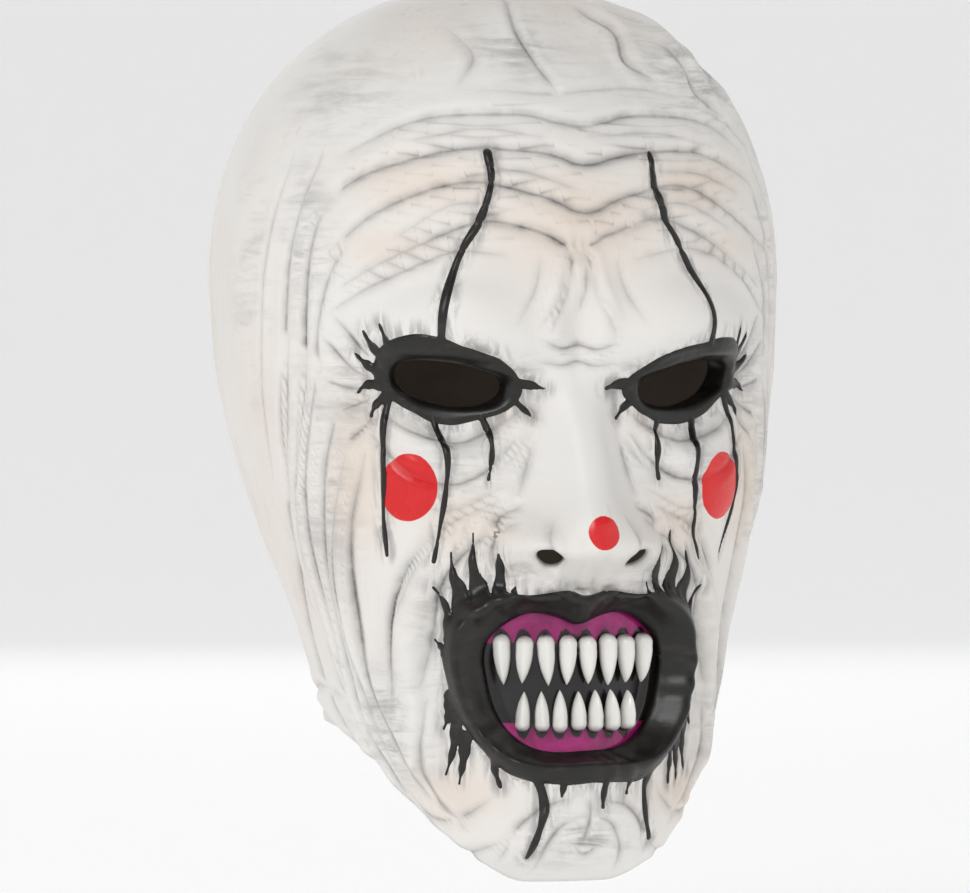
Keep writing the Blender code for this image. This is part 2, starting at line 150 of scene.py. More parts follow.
# down: share of MASK_HEIGHT; rise: of FRONT_DEPTH; half_width: of HALF_WIDTH
NOSE_SECTIONS = (
    # down, rise, half_width
    (0.405, 0.000, 0.125),
    (0.440, 0.020, 0.110),
    (0.490, 0.080, 0.112),
    (0.560, 0.155, 0.130),
    (0.610, 0.215, 0.160),
    (0.638, 0.195, 0.175),
    (0.658, 0.090, 0.180),
    (0.677, 0.000, 0.180),
)
NOSE_FLATNESS = 2.4

# Broad forms pushed forward, on both sides where they are off the midline
FACE_FORMS = (
    # name, across, down, half_width, half_height, rise
    ("forehead", 0.00, 0.258, 0.50, 0.110, 0.020),
    ("brow_boss", 0.36, 0.355, 0.28, 0.040, 0.034),
    ("eye_socket", 0.44, 0.456, 0.25, 0.048, -0.135),
    ("nose_root", 0.00, 0.425, 0.12, 0.030, -0.020),
    ("cheekbone", 0.64, 0.555, 0.24, 0.060, 0.058),
    ("nose_wing", 0.200, 0.628, 0.090, 0.030, 0.120),
    ("cheek_hollow", 0.74, 0.699, 0.20, 0.085, -0.030),
    ("muzzle", 0.00, 0.757, 0.46, 0.105, 0.035),
    ("jaw_corner", 0.66, 0.825, 0.24, 0.070, 0.020),
    ("chin", 0.00, 0.922, 0.25, 0.048, 0.045),
    ("chin_dimple", 0.00, 0.940, 0.05, 0.020, -0.022),
)

# Folds that stand up, as curves through their places, on both sides
FOLDS = (
    # name, across, down, ... width, rise
    ("brow", 0.09, 0.428, 0.36, 0.382, 0.70, 0.386, 0.100, 0.086),
    ("frown", 0.060, 0.412, 0.095, 0.370, 0.040, 0.330, 0.046, 0.034),
    ("eye_bag", 0.20, 0.502, 0.44, 0.534, 0.70, 0.490, 0.050, 0.032),
    ("smile_fold", 0.30, 0.635, 0.60, 0.699, 0.60, 0.864, 0.060, 0.040),
    ("inner_cheek_fold", 0.84, 0.510, 0.92, 0.709, 0.52, 0.908, 0.055, 0.030),
    ("outer_cheek_fold", 1.04, 0.480, 1.14, 0.728, 0.66, 0.883, 0.058, 0.030),
)

# Sunk creases, as curves through their places, mirrored where both is 1. depth: share of FRONT_DEPTH;
# wash: how grey the crease is painted, partly an ageing wash and partly painted shade in the sunk crease.
CREASES = (
    # both, across, down, ... width, depth, wash
    (0, -0.82, 0.196, -0.52, 0.160, -0.20, 0.152, 0.04, 0.168, 0.28, 0.152, 0.60, 0.158, 0.86, 0.190, 0.017, 0.010, 0.8),
    (0, -1.02, 0.268, -0.75, 0.216, -0.42, 0.192, -0.10, 0.200, 0.05, 0.214, 0.24, 0.198, 0.55, 0.194, 0.88, 0.226, 0.020, 0.013, 1.0),
    (0, -0.93, 0.304, -0.70, 0.262, -0.40, 0.234, -0.14, 0.243, 0.02, 0.262, 0.19, 0.244, 0.48, 0.236, 0.98, 0.300, 0.019, 0.012, 1.0),
    (0, -0.86, 0.342, -0.60, 0.298, -0.35, 0.274, -0.13, 0.287, 0.01, 0.308, 0.15, 0.288, 0.38, 0.272, 0.88, 0.340, 0.021, 0.014, 1.0),
    (0, -0.92, 0.374, -0.66, 0.332, -0.44, 0.308, -0.25, 0.316, 0.015, 0.009, 0.7),
    (0, 0.22, 0.312, 0.46, 0.303, 0.70, 0.324, 0.95, 0.372, 0.015, 0.009, 0.7),
    (0, 0.08, 0.182, 0.33, 0.174, 0.64, 0.186, 0.011, 0.005, 0.5),
    (0, -0.60, 0.184, -0.34, 0.174, -0.10, 0.184, 0.011, 0.005, 0.5),
    (0, -0.36, 0.214, -0.16, 0.222, -0.02, 0.236, 0.010, 0.005, 0.5),
    (0, 0.30, 0.216, 0.52, 0.216, 0.76, 0.238, 0.010, 0.005, 0.5),
    (0, -0.66, 0.288, -0.44, 0.256, -0.22, 0.262, 0.010, 0.005, 0.45),
    (0, 0.20, 0.264, 0.42, 0.254, 0.68, 0.278, 0.010, 0.005, 0.45),
    (0, -0.30, 0.126, -0.05, 0.132, 0.25, 0.124, 0.50, 0.132, 0.013, 0.005, 0.45),
    (1, 0.010, 0.290, 0.034, 0.320, 0.056, 0.352, 0.112, 0.386, 0.017, 0.013, 0.95),
    (1, 0.052, 0.330, 0.078, 0.356, 0.130, 0.378, 0.011, 0.006, 0.5),
    (1, 0.150, 0.318, 0.176, 0.352, 0.226, 0.376, 0.012, 0.006, 0.4),
    (0, 0.004, 0.322, 0.008, 0.346, 0.000, 0.368, 0.010, 0.006, 0.6),
    (0, -0.115, 0.402, -0.06, 0.410, 0.000, 0.407, 0.06, 0.411, 0.115, 0.402, 0.013, 0.010, 0.9),
    (0, -0.130, 0.424, -0.06, 0.432, 0.000, 0.427, 0.06, 0.433, 0.130, 0.425, 0.011, 0.007, 0.6),
    (1, 0.118, 0.446, 0.150, 0.490, 0.178, 0.530, 0.215, 0.572, 0.018, 0.008, 0.7),
    (1, 0.215, 0.585, 0.296, 0.600, 0.312, 0.632, 0.270, 0.664, 0.018, 0.015, 1.0),
    (1, 0.040, 0.668, 0.050, 0.686, 0.042, 0.704, 0.012, 0.008, 0.7),
    (0, -0.100, 0.662, 0.000, 0.672, 0.100, 0.662, 0.012, 0.008, 0.8),
    (1, 0.130, 0.598, 0.160, 0.618, 0.150, 0.640, 0.010, 0.006, 0.4),
    (1, 0.150, 0.436, 0.260, 0.414, 0.430, 0.403, 0.600, 0.408, 0.740, 0.424, 0.014, 0.009, 0.9),
    (1, 0.200, 0.424, 0.340, 0.398, 0.520, 0.392, 0.011, 0.005, 0.5),
    (1, 0.715, 0.432, 0.790, 0.414, 0.900, 0.378, 0.012, 0.008, 0.9),
    (1, 0.735, 0.444, 0.830, 0.434, 0.965, 0.404, 0.012, 0.008, 0.9),
    (1, 0.740, 0.456, 0.840, 0.456, 0.985, 0.446, 0.012, 0.008, 0.9),
    (1, 0.730, 0.468, 0.825, 0.478, 0.960, 0.488, 0.012, 0.008, 0.8),
    (1, 0.705, 0.478, 0.790, 0.500, 0.900, 0.524, 0.012, 0.007, 0.7),
    (1, 0.165, 0.478, 0.260, 0.500, 0.430, 0.516, 0.590, 0.508, 0.710, 0.484, 0.012, 0.008, 0.85),
    (1, 0.205, 0.512, 0.320, 0.546, 0.470, 0.562, 0.640, 0.548, 0.770, 0.508, 0.015, 0.010, 0.9),
    (1, 0.150, 0.500, 0.220, 0.530, 0.300, 0.552, 0.010, 0.005, 0.5),
    (1, 0.270, 0.566, 0.420, 0.588, 0.560, 0.586, 0.011, 0.005, 0.4),
    (1, 0.245, 0.604, 0.380, 0.630, 0.500, 0.680, 0.570, 0.780, 0.020, 0.012, 0.95),
    (1, 0.300, 0.584, 0.460, 0.606, 0.620, 0.656, 0.700, 0.740, 0.705, 0.810, 0.020, 0.013, 0.95),
    (1, 0.560, 0.800, 0.580, 0.850, 0.530, 0.900, 0.420, 0.935, 0.017, 0.009, 0.7),
    (1, 0.440, 0.612, 0.560, 0.640, 0.640, 0.700, 0.010, 0.005, 0.45),
    (1, 0.790, 0.528, 0.850, 0.600, 0.850, 0.690, 0.760, 0.810, 0.560, 0.908, 0.018, 0.011, 0.9),
    (1, 0.860, 0.520, 0.935, 0.600, 0.950, 0.700, 0.860, 0.810, 0.700, 0.880, 0.012, 0.006, 0.6),
    (1, 0.905, 0.470, 0.985, 0.560, 1.010, 0.680, 0.900, 0.820, 0.610, 0.936, 0.019, 0.012, 1.0),
    (1, 0.985, 0.430, 1.075, 0.560, 1.095, 0.690, 0.960, 0.830, 0.730, 0.915, 0.018, 0.011, 0.9),
    (1, 1.060, 0.420, 1.150, 0.560, 1.170, 0.690, 1.060, 0.800, 0.880, 0.880, 0.013, 0.007, 0.6),
    (1, 1.150, 0.400, 1.230, 0.520, 1.270, 0.690, 1.160, 0.800, 0.980, 0.860, 0.018, 0.009, 0.7),
    (1, 0.900, 0.236, 1.000, 0.290, 1.060, 0.370, 1.070, 0.470, 1.120, 0.560, 0.019, 0.010, 0.9),
    (1, 0.960, 0.200, 1.090, 0.270, 1.160, 0.370, 1.170, 0.470, 1.230, 0.580, 0.017, 0.008, 0.7),
    (1, 0.860, 0.300, 0.940, 0.340, 0.980, 0.400, 0.960, 0.450, 0.014, 0.007, 0.7),
    (1, 1.120, 0.200, 1.280, 0.300, 1.340, 0.420, 1.380, 0.560, 0.014, 0.005, 0.4),
    (1, 0.055, 0.905, 0.150, 0.912, 0.230, 0.935, 0.270, 0.968, 0.015, 0.009, 0.8),
    (1, 0.040, 0.926, 0.100, 0.936, 0.140, 0.958, 0.150, 0.982, 0.012, 0.007, 0.7),
    (0, 0.006, 0.906, 0.012, 0.932, 0.000, 0.960, 0.012, 0.007, 0.9),
    (0, -0.040, 0.955, 0.000, 0.968, 0.045, 0.956, 0.011, 0.006, 0.7),
    (1, 0.330, 0.905, 0.440, 0.926, 0.560, 0.928, 0.680, 0.905, 0.015, 0.007, 0.6),
    (1, 0.250, 0.950, 0.420, 0.970, 0.600, 0.958, 0.760, 0.925, 0.015, 0.007, 0.5),
    (1, 1.000, 0.806, 1.300, 0.796, 1.650, 0.835, 0.020, 0.007, 0.35),
    (1, 1.050, 0.845, 1.400, 0.825, 1.800, 0.854, 0.018, 0.006, 0.3),
    (0, -0.06, 0.020, -0.10, 0.060, -0.07, 0.100, -0.02, 0.130, 0.016, 0.010, 0.9),
    (0, -0.34, 0.060, -0.28, 0.090, -0.36, 0.124, 0.020, 0.008, 0.4),
    (0, 0.20, 0.030, 0.30, 0.056, 0.30, 0.090, 0.40, 0.120, 0.022, 0.016, 0.8),
    (0, 0.34, 0.028, 0.52, 0.050, 0.62, 0.078, 0.84, 0.100, 0.026, 0.020, 0.8),
    (0, 0.44, 0.078, 0.58, 0.100, 0.62, 0.130, 0.80, 0.150, 0.022, 0.015, 0.8),
    (0, 0.70, 0.108, 0.88, 0.120, 1.02, 0.146, 1.06, 0.190, 0.024, 0.018, 0.9),
    (0, 0.60, 0.150, 0.78, 0.158, 0.96, 0.186, 0.016, 0.009, 0.6),
)

# Soft patches of wash on the latex, mirrored where both is 1. The smudge patches are grey dry-brush,
# and painted shade where they sit in hollows: the inner eye corners, under the nose wings and the chin dimple.
PATCHES = (
    # name, both, across, down, half_width, half_height, strength
    ("warm_wash", 0, 0.00, 0.280, 0.34, 0.060, 0.9),
    ("warm_wash", 1, 0.52, 0.232, 0.30, 0.034, 0.8),
    ("warm_wash", 1, 0.66, 0.300, 0.22, 0.024, 0.6),
    ("warm_wash", 1, 0.82, 0.560, 0.14, 0.080, 0.8),
    ("warm_wash", 1, 0.42, 0.606, 0.16, 0.034, 0.7),
    ("warm_wash", 1, 0.26, 0.480, 0.08, 0.030, 0.6),
    ("warm_wash", 1, 0.44, 0.900, 0.20, 0.034, 0.6),
    ("warm_wash", 1, 1.42, 0.480, 0.26, 0.160, 0.4),
    ("smudge_and_shade", 1, 1.04, 0.300, 0.12, 0.080, 0.7),
    ("smudge_and_shade", 1, 1.00, 0.560, 0.16, 0.120, 0.6),
    ("smudge_and_shade", 1, 0.74, 0.830, 0.20, 0.060, 0.8),
    ("smudge_and_shade", 1, 0.48, 0.720, 0.10, 0.070, 0.6),
    ("smudge_and_shade", 1, 0.20, 0.440, 0.07, 0.022, 0.7),
    ("smudge_and_shade", 1, 0.84, 0.450, 0.14, 0.050, 0.7),
    ("smudge_and_shade", 1, 0.45, 0.545, 0.20, 0.026, 0.5),
    ("smudge_and_shade", 0, 0.00, 0.950, 0.16, 0.026, 1.0),
    ("smudge_and_shade", 1, 0.24, 0.660, 0.12, 0.020, 0.6),
    ("smudge_and_shade", 0, -0.12, 0.080, 0.20, 0.050, 0.6),
    ("smudge_and_shade", 0, 0.70, 0.110, 0.40, 0.050, 0.9),
    ("smudge_and_shade", 0, -0.86, 0.130, 0.30, 0.060, 0.4),
    ("smudge_and_shade", 1, 1.40, 0.340, 0.16, 0.120, 0.4),
)

# Strokes of black paint, each a curve through its places, mirrored where both is 1.
# start and end: half widths at the ends, in shares of BRUSH.
BRUSH = 0.0018
STROKES = (
    # both, across, down, ... start, end
    (1, 0.302, 0.198, 0.300, 0.230, 0.344, 0.268, 0.424, 0.312, 0.478, 0.362, 0.474, 0.415, 0.62, 0.66),
    (1, 0.322, 0.480, 0.300, 0.515, 0.318, 0.556, 0.62, 0.30),
    (1, 0.500, 0.485, 0.476, 0.530, 0.484, 0.580, 0.508, 0.645, 0.64, 0.32),
    (1, 0.664, 0.468, 0.716, 0.520, 0.728, 0.575, 0.694, 0.640, 0.68, 0.30),
    (1, 0.250, 0.450, 0.180, 0.450, 0.105, 0.458, 2.10, 0.20),
    (1, 0.240, 0.464, 0.190, 0.474, 0.150, 0.490, 1.20, 0.16),
    (1, 0.620, 0.418, 0.670, 0.402, 0.700, 0.384, 1.30, 0.14),
    (1, 0.660, 0.424, 0.730, 0.410, 0.772, 0.392, 1.50, 0.14),
    (1, 0.690, 0.438, 0.760, 0.430, 0.812, 0.418, 1.30, 0.12),
    (1, 0.690, 0.452, 0.760, 0.453, 0.806, 0.462, 1.30, 0.12),
    (1, 0.670, 0.466, 0.724, 0.476, 0.752, 0.490, 1.20, 0.12),
    (0, -0.185, 0.860, -0.158, 0.905, -0.172, 0.940, -0.194, 0.970, 0.95, 0.38),
    (0, 0.262, 0.860, 0.236, 0.895, 0.250, 0.925, 0.286, 0.952, 0.85, 0.36),
    (0, 0.055, 0.860, 0.064, 0.885, 0.050, 0.914, 1.00, 0.35),
    (0, -0.085, 0.860, -0.078, 0.884, -0.092, 0.902, 1.05, 0.30),
    (0, 0.150, 0.860, 0.160, 0.882, 0.150, 0.900, 1.05, 0.28),
    (0, -0.300, 0.850, -0.312, 0.872, -0.300, 0.892, 1.00, 0.28),
    (0, 0.372, 0.842, 0.384, 0.866, 0.374, 0.892, 1.00, 0.28),
)
# Short pointed strokes out from the lip band, on both sides: where they leave it and how far they reach
LIP_SPIKES = (
    # across, down, reach across, reach down, half width in shares of BRUSH
    (0.236, 0.700, -0.006, -0.034, 0.9),
    (0.282, 0.700, 0.010, -0.070, 1.0),
    (0.322, 0.702, 0.026, -0.044, 0.9),
    (0.360, 0.704, 0.012, -0.090, 1.1),
    (0.396, 0.708, 0.034, -0.054, 0.9),
    (0.424, 0.714, 0.022, -0.078, 1.0),
    (0.450, 0.730, 0.054, -0.056, 0.9),
    (0.466, 0.752, 0.050, -0.020, 0.8),
    (0.466, 0.796, 0.036, 0.034, 1.0),
    (0.448, 0.818, 0.040, 0.062, 0.9),
    (0.416, 0.840, 0.022, 0.050, 0.9),
)

RED_SPOTS = (
    # across, down, radius in metres
    (0.625, 0.566, 0.0092),
    (-0.625, 0.566, 0.0092),
    (0.010, 0.613, 0.0046),
)

CAMERA_TURN = math.radians(-18.0)
CAMERA_LIFT = math.radians(1.0)
CAMERA_DISTANCE = 2.0
PIXELS_PER_METRE = 3350.0
PICTURE_WIDTH, PICTURE_HEIGHT = 970, 893
AXIS_PIXEL, CROWN_PIXEL = 474, -12


def column(table, index):
    return np.array([row[index] for row in table])


def smooth_table(table, index, at):
    """Reads one column of a table at places along its first column, without corners."""
    xs = column(table, 0)
    ys = column(table, index)
    slopes = np.gradient(ys, xs)
    at = np.clip(at, xs[0], xs[-1])
    low = np.clip(np.searchsorted(xs, at, side="right") - 1, 0, len(xs) - 2)
    span = xs[low + 1] - xs[low]
    t = (at - xs[low]) / span
    start = (2 * t**3 - 3 * t**2 + 1) * ys[low] + (t**3 - 2 * t**2 + t) * span * slopes[low]
    end = (3 * t**2 - 2 * t**3) * ys[low + 1] + (t**3 - t**2) * span * slopes[low + 1]
    return start + end


def ease(low, high, at):
    t = np.clip((at - low) / (high - low), 0.0, 1.0)
    return t * t * (3.0 - 2.0 * t)


def head_section(drop):
    """Half width, front, back and widest line of the bare head at each drop from the crown."""
    down = drop / MASK_HEIGHT
    below = np.maximum(down, DOME_DOWN)
    half_width, front, back, middle = (smooth_table(HEAD_SECTIONS, i, below) for i in range(1, 5))
    rest = np.clip(1.0 - down / DOME_DOWN, 0.0, 1.0)
    dome = (1.0 - rest**DOME_SQUARENESS) ** (1.0 / DOME_SQUARENESS)
    middle = middle * FRONT_DEPTH
    ahead = (front * FRONT_DEPTH - middle) * dome
    behind = (back * BACK_DEPTH + middle) * dome
    middle = middle * (CROWN_MIDDLE + (1.0 - CROWN_MIDDLE) * dome)
    return half_width * HALF_WIDTH * dome, ahead, behind, middle


def bump(across, drop, form):
    """A rounded rise at one place, and its mirror image where it is off the midline."""
    _, at, down, half_width, half_height, rise = form
    tall = ((drop / MASK_HEIGHT - down) / half_height) ** 2
    sides = (1.0, -1.0) if at > 0.0 else (1.0,)
    total = 0.0
    for side in sides:
        wide = ((across / HALF_WIDTH - side * at) / half_width) ** 2
        total = total + np.exp(-wide - tall)
    return total * rise * FRONT_DEPTH


def nose(across, drop):
    down = drop / MASK_HEIGHT
    rise = smooth_table(NOSE_SECTIONS, 1, down) * FRONT_DEPTH
    half_width = smooth_table(NOSE_SECTIONS, 2, down) * HALF_WIDTH
    return rise * np.exp(-np.abs(across / half_width) ** NOSE_FLATNESS)


def curve_points(places, steps):
    """Points in metres along the smooth curve through the places."""
    knots = np.array(places, dtype=float).reshape(-1, 2) * (HALF_WIDTH, MASK_HEIGHT)
    ends = np.vstack((2 * knots[0] - knots[1], knots, 2 * knots[-1] - knots[-2]))
    t = np.linspace(0.0, 1.0, steps, endpoint=False)[:, None]
    spans = []
    for p0, p1, p2, p3 in zip(ends, ends[1:], ends[2:], ends[3:]):
        cubic = 3.0 * (p1 - p2) + p3 - p0
        square = 2.0 * p0 - 5.0 * p1 + 4.0 * p2 - p3
        spans.append(p1 + 0.5 * t * ((p2 - p0) + t * (square + t * cubic)))
    return np.vstack(spans + [knots[-1:]])


def curve_distance(across, drop, places, steps=6):
    """Distance to the curve through the places, signed by its side, and how far along the nearest point lies."""
    points = curve_points(places, steps)
    lengths = np.linalg.norm(np.diff(points, axis=0), axis=1)
    reach = np.concatenate(([0.0], np.cumsum(lengths)))
    best = np.full(np.shape(across), np.inf)
    along = np.zeros(np.shape(across))
    for k, length in enumerate(lengths):
        (a0, d0), (a1, d1) = points[k], points[k + 1]
        t = np.clip(((across - a0) * (a1 - a0) + (drop - d0) * (d1 - d0)) / length**2, 0.0, 1.0)
        away = np.hypot(across - a0 - t * (a1 - a0), drop - d0 - t * (d1 - d0))
        side = np.sign((a1 - a0) * (drop - d0) - (d1 - d0) * (across - a0))
        closer = away < np.abs(best)
        best = np.where(closer, np.where(side < 0.0, -away, away), best)
        along = np.where(closer, (reach[k] + t * length) / reach[-1], along)
    return best, along


def near_box(across, drop, places, margin):
    """Which points lie near enough to a curve to matter."""
    xs, ys = places[0::2], places[1::2]
    in_x = (across > min(xs) * HALF_WIDTH - margin) & (across < max(xs) * HALF_WIDTH + margin)
    in_y = (drop > min(ys) * MASK_HEIGHT - margin) & (drop < max(ys) * MASK_HEIGHT + margin)
    return in_x & in_y


def fold(across, drop, row):
    """A ridge along a curve, fading out at both ends."""
    *places, width, rise = row[1:]
    away, along = curve_distance(np.abs(across), drop, places)
    fade = np.sin(math.pi * (0.08 + 0.84 * along)) ** 0.7
    return fade * rise * FRONT_DEPTH * np.exp(-((away / (width * HALF_WIDTH)) ** 2))


def wander(across, drop, phase):
    """A slow irregular drift, so that no fold is drawn with a ruler."""
    x, y = across / 0.016, drop / 0.018
    one = np.sin(x * 1.3 + 2.1 * phase + 0.9 * np.sin(y * 1.1 + phase))
    two = np.sin(y * 1.7 - 1.3 * phase + 1.2 * np.sin(x * 0.7 + 3.0 * phase))
    three = np.sin((x + y) * 2.9 + 4.0 * phase)
    return (0.45 * one + 0.4 * two + 0.15 * three)


def crease(across, drop, places, width, depth, wash, phase):
    """Height, grey and signed distance of a sunk crease with soft raised shoulders; the grey is partly ageing wash and
    partly painted shade in the crease.
    """
    width = width * HALF_WIDTH
    rise = np.zeros(np.shape(across))
    grey = np.zeros(np.shape(across))
    line = np.full(np.shape(across), 0.01)
    near = near_box(across, drop, places, 7.0 * width + 0.004)
    if not near.any():
        return rise, grey, line
    a, d = across[near], drop[near]
    shift = 0.0012 * wander(a, d, phase)
    away, along = curve_distance(a + shift, d + 0.9 * shift, places)
    strength = np.sin(math.pi * (0.04 + 0.92 * along)) ** 0.6
    strength = strength * (0.88 + 0.12 * np.sin(along * 9.0 + 5.0 * phase))
    sunk = np.exp(-((away / width) ** 2))
    shoulder = np.exp(-(((np.abs(away) - 2.1 * width) / (1.1 * width)) ** 2))
    rise[near] = depth * FRONT_DEPTH * strength * (0.38 * shoulder - sunk)
    # grey along the crease: partly ageing wash, partly painted shade where the crease sinks
    grey[near] = wash * strength * np.exp(-((away / max(1.7 * width, 0.0021)) ** 2))
    line[near] = away
    return rise, grey, line


def outline_distance(across, down, half_width, half_height, power):
    """Rough distance outside a rounded outline, below zero inside it."""
    u = np.abs(across) / half_width + 1e-6
    v = np.abs(down) / half_height + 1e-6
    radius = (u**power + v**power) ** (1.0 / power)
    slope = np.hypot((u / radius) ** (power - 1) / half_width, (v / radius) ** (power - 1) / half_height)
    return (radius - 1.0) / slope


def slanted_distance(across, drop, at, down, width, height, slant):
    x = np.abs(across) - at * HALF_WIDTH
    y = drop - down * MASK_HEIGHT
    along = x * math.cos(slant) - y * math.sin(slant)
    off = x * math.sin(slant) + y * math.cos(slant)
    return outline_distance(along, off, width / 2, height / 2, 2.0)


def eye_distance(across, drop):
    return slanted_distance(across, drop, EYE_ACROSS, EYE_DOWN, EYE_HOLE_WIDTH, EYE_HOLE_HEIGHT, EYE_SLANT)


def nostril_distance(across, drop):
    return slanted_distance(
        across, drop, NOSTRIL_ACROSS, NOSTRIL_DOWN, NOSTRIL_WIDTH, NOSTRIL_HEIGHT, NOSTRIL_SLANT
    )


def mouth_half_width(share):
    return MOUTH_WIDTH / 2 * (1.0 - MOUTH_TAPER * np.clip(share, -1.3, 1.3))


def mouth_distance(across, drop):
    down = drop - MOUTH_DOWN * MASK_HEIGHT
    upper = ease(-0.2, 1.0, -down / (MOUTH_HEIGHT / 2))
    bow = 0.0024 * np.exp(-((across / 0.0050) ** 2)) - 0.0016 * np.exp(-(((np.abs(across) - 0.0150) / 0.0070) ** 2))
    down = down - bow * upper + 0.0005 * (1.0 - upper) * np.sin(across / 0.0062 + 1.0)
    half_width = mouth_half_width(down / (MOUTH_HEIGHT / 2))
    return outline_distance(across, down, half_width, MOUTH_HEIGHT / 2, MOUTH_SQUARENESS)


def hole_distance(across, drop):
    holes = (eye_distance(across, drop), mouth_distance(across, drop), nostril_distance(across, drop))
    return np.minimum.reduce(holes)


def eye_rim(across, drop):
    away = eye_distance(across, drop)
    crest = EYE_RIM_RISE * np.exp(-(((away - EYE_RIM_REACH) / EYE_RIM_WIDTH) ** 2))
    return crest - EYE_RIM_ROLL * (1.0 - ease(0.0, 0.0030, away))


def lip(across, drop):
    away = mouth_distance(across, drop)
    crest = LIP_RISE * np.exp(-(((away - LIP_REACH) / LIP_WIDTH) ** 2))
    return crest - LIP_ROLL * (1.0 - ease(0.0, LIP_ROLL_WIDTH, away))


def bare_face(turn, drop):
    """The skin without lips and rims: where it is, and how far along the skin from the midline."""
    half_width, ahead, behind, middle = head_section(drop)
    depth = np.where(np.cos(turn) > 0.0, ahead, behind)
    across = half_width * turn
    facing = ease(-0.1, 0.45, np.cos(turn))
    forward = nose(across, drop)
    for form in FACE_FORMS:
        forward = forward + bump(across, drop, form)
    forward = forward * facing
    place = np.stack(
        (half_width * np.sin(turn), -(middle + depth * np.cos(turn) + forward), CROWN - drop), axis=-1
    )
    return place, across


def normals(turn, drop, reach=0.0008):
    """Outward direction of the bare face, from its slopes either way."""
    step = reach / np.maximum(head_section(drop)[0], 0.2 * HALF_WIDTH)
    sideways = bare_face(turn + step, drop)[0] - bare_face(turn - step, drop)[0]
    downward = bare_face(turn, drop + reach)[0] - bare_face(turn, drop - reach)[0]
    out = np.cross(downward, sideways)
    return out / np.linalg.norm(out, axis=-1, keepdims=True)


def behind_lips(across, drop, depth):
    """A place on the bare face sunk by a depth, and the outward direction there."""
    turn = across / head_section(drop)[0]
    out = normals(turn, drop)
    return bare_face(turn, drop)[0] - out * np.asarray(depth)[..., None], out


def spaced(count, weight):
    """Places from 0 to 1 whose steps follow a weight."""
    fine = np.linspace(0.0, 1.0, 400)
    reach = np.concatenate(([0.0], np.cumsum((1.0 / weight(fine))[:-1])))
    return np.interp(np.linspace(0.0, 1.0, count), reach / reach[-1], fine)


def rim_drop(turn):
    """Drop of the lower edge: lowest under the chin, higher along the jaw and at the nape."""
    side = np.abs(turn)
    behind = ease(2.0, 2.9, side)
    return MASK_HEIGHT - JAW_RISE * ease(0.40, 1.95, side) * (1.0 - behind) - NAPE_RISE * behind


def mouth_ring(grow, spokes):
    """Places round the mouth opening's outline, grown by a distance, as across and drop."""
    angles = np.arange(spokes) / spokes * 2.0 * math.pi
    power = 2.0 / MOUTH_SQUARENESS
    wide = np.sign(np.cos(angles)) * np.abs(np.cos(angles)) ** power
    tall = np.sign(np.sin(angles)) * np.abs(np.sin(angles)) ** power
    half_width = mouth_half_width(tall) + grow
    return wide * half_width, MOUTH_DOWN * MASK_HEIGHT + tall * (MOUTH_HEIGHT / 2 + grow)


def skin_grid():
    """Turn and drop of every point of the skin, ring by ring below the crown."""
    half = spaced(SKIN_COLUMNS // 2 + 1, lambda t: FACE_STEP + (1.0 - FACE_STEP) * ease(0.50, 0.74, t))
    turns = np.concatenate((half, 2.0 - half[-2:0:-1])) * math.pi
    turns = np.where(turns > math.pi, turns - 2.0 * math.pi, turns)
    rise = np.linspace(0.0, 1.0, DOME_ROWS + 1)[1:]
    dome = DOME_DOWN * MASK_HEIGHT * (0.42 * rise**2 + 0.58 * rise**1.1)
    low = np.linspace(0.0, 1.0, FACE_ROWS + 1)[1:]
    edge = rim_drop(turns)
    drops = [np.full(len(turns), d) for d in dome]
    drops += [dome[-1] + t * (edge - dome[-1]) for t in low]
    return np.tile(turns, (len(drops), 1)), np.array(drops)


def ring_faces(rows, count, first):
    """Quads between closed rings of points."""
    here = first + np.arange((rows - 1) * count).reshape(rows - 1, count)
    beside = np.roll(here, -1, axis=1)
    return np.stack((here, beside, beside + count, here + count), axis=-1).reshape(-1, 4)


def open_holes(turn, drop, faces):
    """Leaves out the faces in the holes and draws the edge points onto the outlines."""
    across = head_section(drop)[0] * turn
    inside = hole_distance(across[faces].mean(axis=1), drop[faces].mean(axis=1)) < 0.0
    cut, kept = faces[inside], faces[~inside]
    edge = np.intersect1d(cut.ravel(), kept.ravel())
    moved = drop.copy()
    snap_to_edge(across, moved, edge, hole_distance, 0.0014)
    drop[edge] = moved[edge]
    turn[edge] = across[edge] / head_section(drop[edge])[0]
    return kept


def black_distance(across, drop):
    """Distance outside the black paint: lips, eye rims, spikes and drips."""
    edge = 0.0009 * wander(across, drop, 0.7) + 0.0004 * wander(across * 3.5, drop * 3.5, 2.3)
    above = ease(0.2, 1.0, (MOUTH_DOWN * MASK_HEIGHT - drop) / (MOUTH_HEIGHT / 2))
    lips = mouth_distance(across, drop) - LIP_BAND * (1.0 - 0.30 * above) + edge
    eyes = slanted_distance(across, drop, EYE_ACROSS + 0.010, EYE_DOWN - 0.004, *EYE_PAINT, 1.3 * EYE_SLANT) + edge
    black = np.minimum(lips, eyes)
    for both, *places, start, end in STROKES:
        for side in both_sides(both):
            black = np.minimum(black, stroke_distance(across, drop, places, start, end, side))
    for a, d, reach_a, reach_d, width in LIP_SPIKES:
        for side in (1, -1):
            places = (a, d, a + reach_a * 0.4, d + reach_d * 0.55, a + reach_a, d + reach_d)
            black = np.minimum(black, stroke_distance(across, drop, places, width * 1.5, 0.1, side))
    return black


